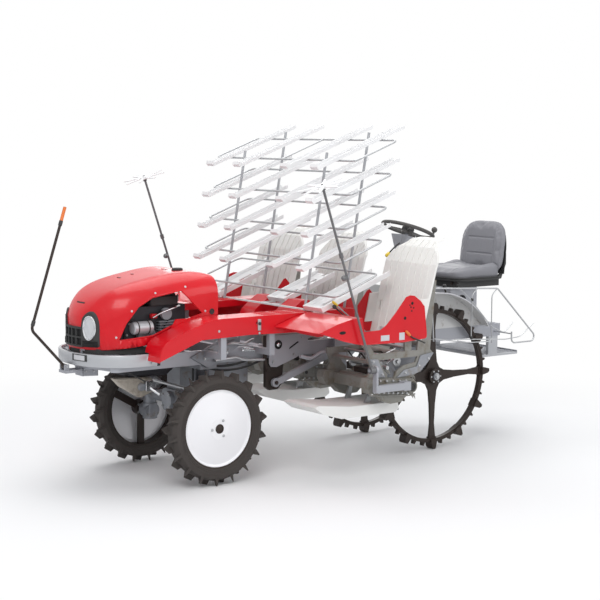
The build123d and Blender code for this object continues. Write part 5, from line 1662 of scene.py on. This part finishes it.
    def levers(self) -> None:
        """Orange and yellow tipped levers, black ball levers and light bent pipes."""
        tip = ((0, 0), (6, 0), (8.5, 10), (8.5, 34), (5, 44), (0, 46))
        ball = ((0, -13), (8, -11), (13, 0), (8, 11), (0, 13))
        for side, name in ((1, "left"), (-1, "right")):
            x = side * self.lever_x
            on_section(f"depth_lever_{name}", ZINC, rod([(x, 890, 834), (x, 672, 1003)], 4, sides=10))
            on_section(f"depth_lever_tip_{name}", YELLOW, turned(tip, (x, 684, 994), (0, -218, 169), 18))
            on_section(f"pressure_lever_{name}", DARK_STEEL, rod([(x + 4, 770, 905), (x + 4, 668, 984)], 4))
            on_section(f"pressure_lever_ball_{name}", BLACK, turned(ball, (x + 4, 661, 989), (0, -1, 1), 20))
            outer = side * self.row_lever_x
            line = [(outer, 1115, 777), (outer, 1015, 818), (outer, 992, 838)]
            on_section(f"row_lever_{name}", BLACK, rod(line, 4, 12))
            on_section(f"row_lever_tip_{name}", ORANGE, turned(tip, (outer, 1002, 828), (0, -23, 20), 18))
            x = side * self.pipe_x
            pipe = [(x, 560, 692), (x, 640, 668), (x, 706, 702), (x, 800, 709)]
            on_section(f"bent_pipe_{name}", FRAME_GREY, rod(pipe, 11, 30, 14))

    def build(self) -> None:
        """Make every piece of the planting section."""
        self.units()
        self.covers()
        self.levers()


@dataclass
class Chassis:
    """Details of the deck, lift linkage and steering; millimetres."""

    plate_x: float = 334.3
    hole: tuple[float, float] = (489.0, 751.0)
    kingpin_x: float = 300.0
    pin_drop: float = 26.0
    pin_limit: float = 566.0

    def deck(self) -> None:
        """Raised treads, latches, bolts and inner guards of the footboards, with a black boss on each latch
        painted in for the shade of its hole.
        """
        treads = [box(330 + 24 * k, 338 + 24 * k, y, y + 96, 947.4, 950.6) for k in range(6)
                  for y in (300, 420, 540)]
        fixed("footboard_treads", RED, *both_sides(*treads), bevel=1.4)
        latch = box(479.6, 486, 240, 262, 866, 930)
        fixed("footboard_latches", ZINC, *both_sides(latch), bevel=2.0)
        fixed("footboard_bolts", ZINC,
              *both_sides(Bolt(12, 4).at([(480, 253, 850), (480, 600, 880), (480, -20, 880)], (1, 0, 0))))
        # Painted shade: a black boss on each latch stands for the dark hole in it.
        knob = ((0, -1), (9, -1), (10, 4), (7, 7), (0, 8))
        fixed("footboard_latch_knobs", BLACK, *both_sides(turned(knob, (486, 250, 906), (1, 0, 0), 20)))
        inner = side_slab([(-354, 806), (-277, 836), (-238, 878), (-200, 943), (-62, 943), (-62, 800)], 310,
                          313.5)
        fixed("footboard_inner_guards", RED, *both_sides(inner))

    def linkage(self) -> None:
        """Shields, straps, pipes, springs and hoses of the lift linkage, and castings ahead of it."""
        x = self.plate_x
        plate = side_slab([(424, 805), (424, 644), (438, 624), (478, 620), (600, 658), (690, 696), (712, 722),
                           (704, 770), (680, 803)], x - 4.3, x)
        fixed("link_shield_plates", FRAME_GREY, *both_sides(plate), bevel=1.0, stands_for=("link_shields",))
        # A raised near-black rim, and a near-black disc painted in as the shade inside each shield hole round
        # its pin.
        ring = ((24, -1), (27, -1), (27, 1.5), (24, 2), (24, -1))
        hole = ((0, 0.2), (24, 0.2), (24, 0.7), (0, 0.8))
        pin = ((0, 0), (12, 0), (12, 4), (9, 6), (0, 6))
        middle = (x, *self.hole)
        rims = [turned(ring, middle, (1, 0, 0), 36), turned(hole, middle, (1, 0, 0), 30)]
        fixed("shield_hole_rims", DEEP_BLACK_AND_SHADE, *both_sides(*rims))
        fixed("shield_pins", CHROME, *both_sides(turned(pin, middle, (1, 0, 0), 20)))
        bolts = [(x, 450, 792), (x, 660, 782), (x, 452, 650), (x, 600, 684)]
        fixed("shield_bolts", ZINC, *both_sides(Bolt(14, 6).at(bolts, (1, 0, 0))))
        # Painted shade: a near-black plate stands for the shade inside each shield's slot.
        slot = side_slab([(566, 716), (640, 756), (628, 760), (572, 730)], x - 0.4, x + 0.8)
        strap = side_slab([(392, 810), (416, 810), (412, 700), (420, 640), (440, 600), (424, 596), (400, 640),
                           (390, 700)], 318, 326)
        fixed("shield_slots", DEEP_BLACK_AND_SHADE, *both_sides(slot))
        fixed("linkage_straps", DARK_STEEL, *both_sides(strap), bevel=1.0)
        casting = side_slab([(-93, 716), (21, 769), (169, 834), (243, 836), (243, 765), (128, 691),
                             (20, 650)], 293, 301)
        rib = side_slab([(20, 760), (60, 778), (200, 800), (200, 780), (60, 744)], 301, 309)
        fixed("rail_side_castings", CASTING, *both_sides(casting, rib), bevel=2.0)
        fixed("rail_casting_bolts", ZINC,
              *both_sides(Bolt(15, 7).at([(301, 0, 704), (301, 150, 728), (301, 220, 815)], (1, 0, 0))))
        pipes = [rod([(318, 60, 690), (322, 209, 700), (322, 240, 682), (318, 400, 669)], 9, 25, 12),
                 rod([(306, 150, 772), (336, 182, 785), (336, 244, 769), (336, 299, 793), (306, 330, 790)], 8,
                     25, 12)]
        fixed("brake_pipes", ZINC, *both_sides(*pipes))
        springs = [coil((322, 250, 740), (322, 385, 720), 10, 2.2, 16)]
        fixed("return_springs", CHROME, *both_sides(*springs))
        hose = [rod([(200, 60, 660), (250, 140, 640), (262, 260, 650), (262, 420, 690)], 7, 60, 10),
                rod([(180, 60, 640), (226, 160, 610), (250, 300, 620), (256, 440, 660)], 7, 60, 10)]
        fixed("lift_hoses", BLACK, *both_sides(*hose))

    def steering(self) -> None:
        """Steering gear ahead of the axle, its drag link, choke rods, knuckle and axle bolts."""
        gear = side_slab([(-470, 604), (-300, 600), (-222, 590), (-215, 512), (-300, 480), (-420, 552)], 42,
                         106)
        fixed("steering_gear", BEIGE, gear, bevel=9.0)
        ring = ((0, -2), (24, -2), (24, 6), (18, 10), (0, 10))
        fixed("steering_gear_cap", CASTING, turned(ring, (106, -300, 545), (1, 0, 0), 28),
              turned(((0, -2), (14, -2), (14, 5), (0, 6)), (106, -250, 548), (1, 0, 0), 22))
        link = rod([(118, -262, 548), (150, -236, 520), (166, -214, 500)], 9, 10, 12)
        fixed("steering_drag_link", CHROME, link, box(112, 134, -284, -236, 520, 580), bevel=2.0)
        fixed("choke_rod", BLACK, rod([(200, -491, 680), (200, -325, 587)], 4, sides=8),
              rod([(200, -13, 668), (200, -13, 566)], 6, sides=8))
        for side, name in ((1, "left"), (-1, "right")):
            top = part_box(f"knuckle_{name}")[1][2] * MM
            piece(f"knuckle_{name}", f"knuckle_bolts_{name}", ZINC,
                  Bolt(20, 9, 2.5).at([(side * self.kingpin_x, 0.0,
                                        min(top - self.pin_drop, self.pin_limit))], (0, 0, 1)))
        fixed("axle_case_bolts", ZINC,
              Bolt(13, 6).at([(x, -71, 430 + z) for x in (-34, 34) for z in (-34, 34)], (0, -1, 0)))

    def build(self) -> None:
        """Make every piece of the chassis."""
        self.deck()
        self.linkage()
        self.steering()


def paint_frame(frame: dict) -> None:
    """Give every CAD node the finish of its material slot, or its own.

    Args:
        frame: what the frame's load returned.
    """
    slots = {part["node"]: part["material_slot"] for part in frame["record"]["subparts"]}
    for name, shown in frame["nodes"].items():
        shown.data.materials.clear()
        shown.data.materials.append(NODE_FINISH.get(name, SLOT_FINISH[slots[name]]).material())


def main() -> None:
    """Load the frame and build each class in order."""
    logging.basicConfig(level=logging.INFO)
    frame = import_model()
    paint_frame(frame)
    Studio().build()
    Nose(frame).build()
    EngineBay().build()
    Wheels().build()
    Seat().build()
    Rear().build()
    Planting().build()
    Chassis().build()
    bpy.context.view_layer.update()


if __name__ == "__main__":
    main()
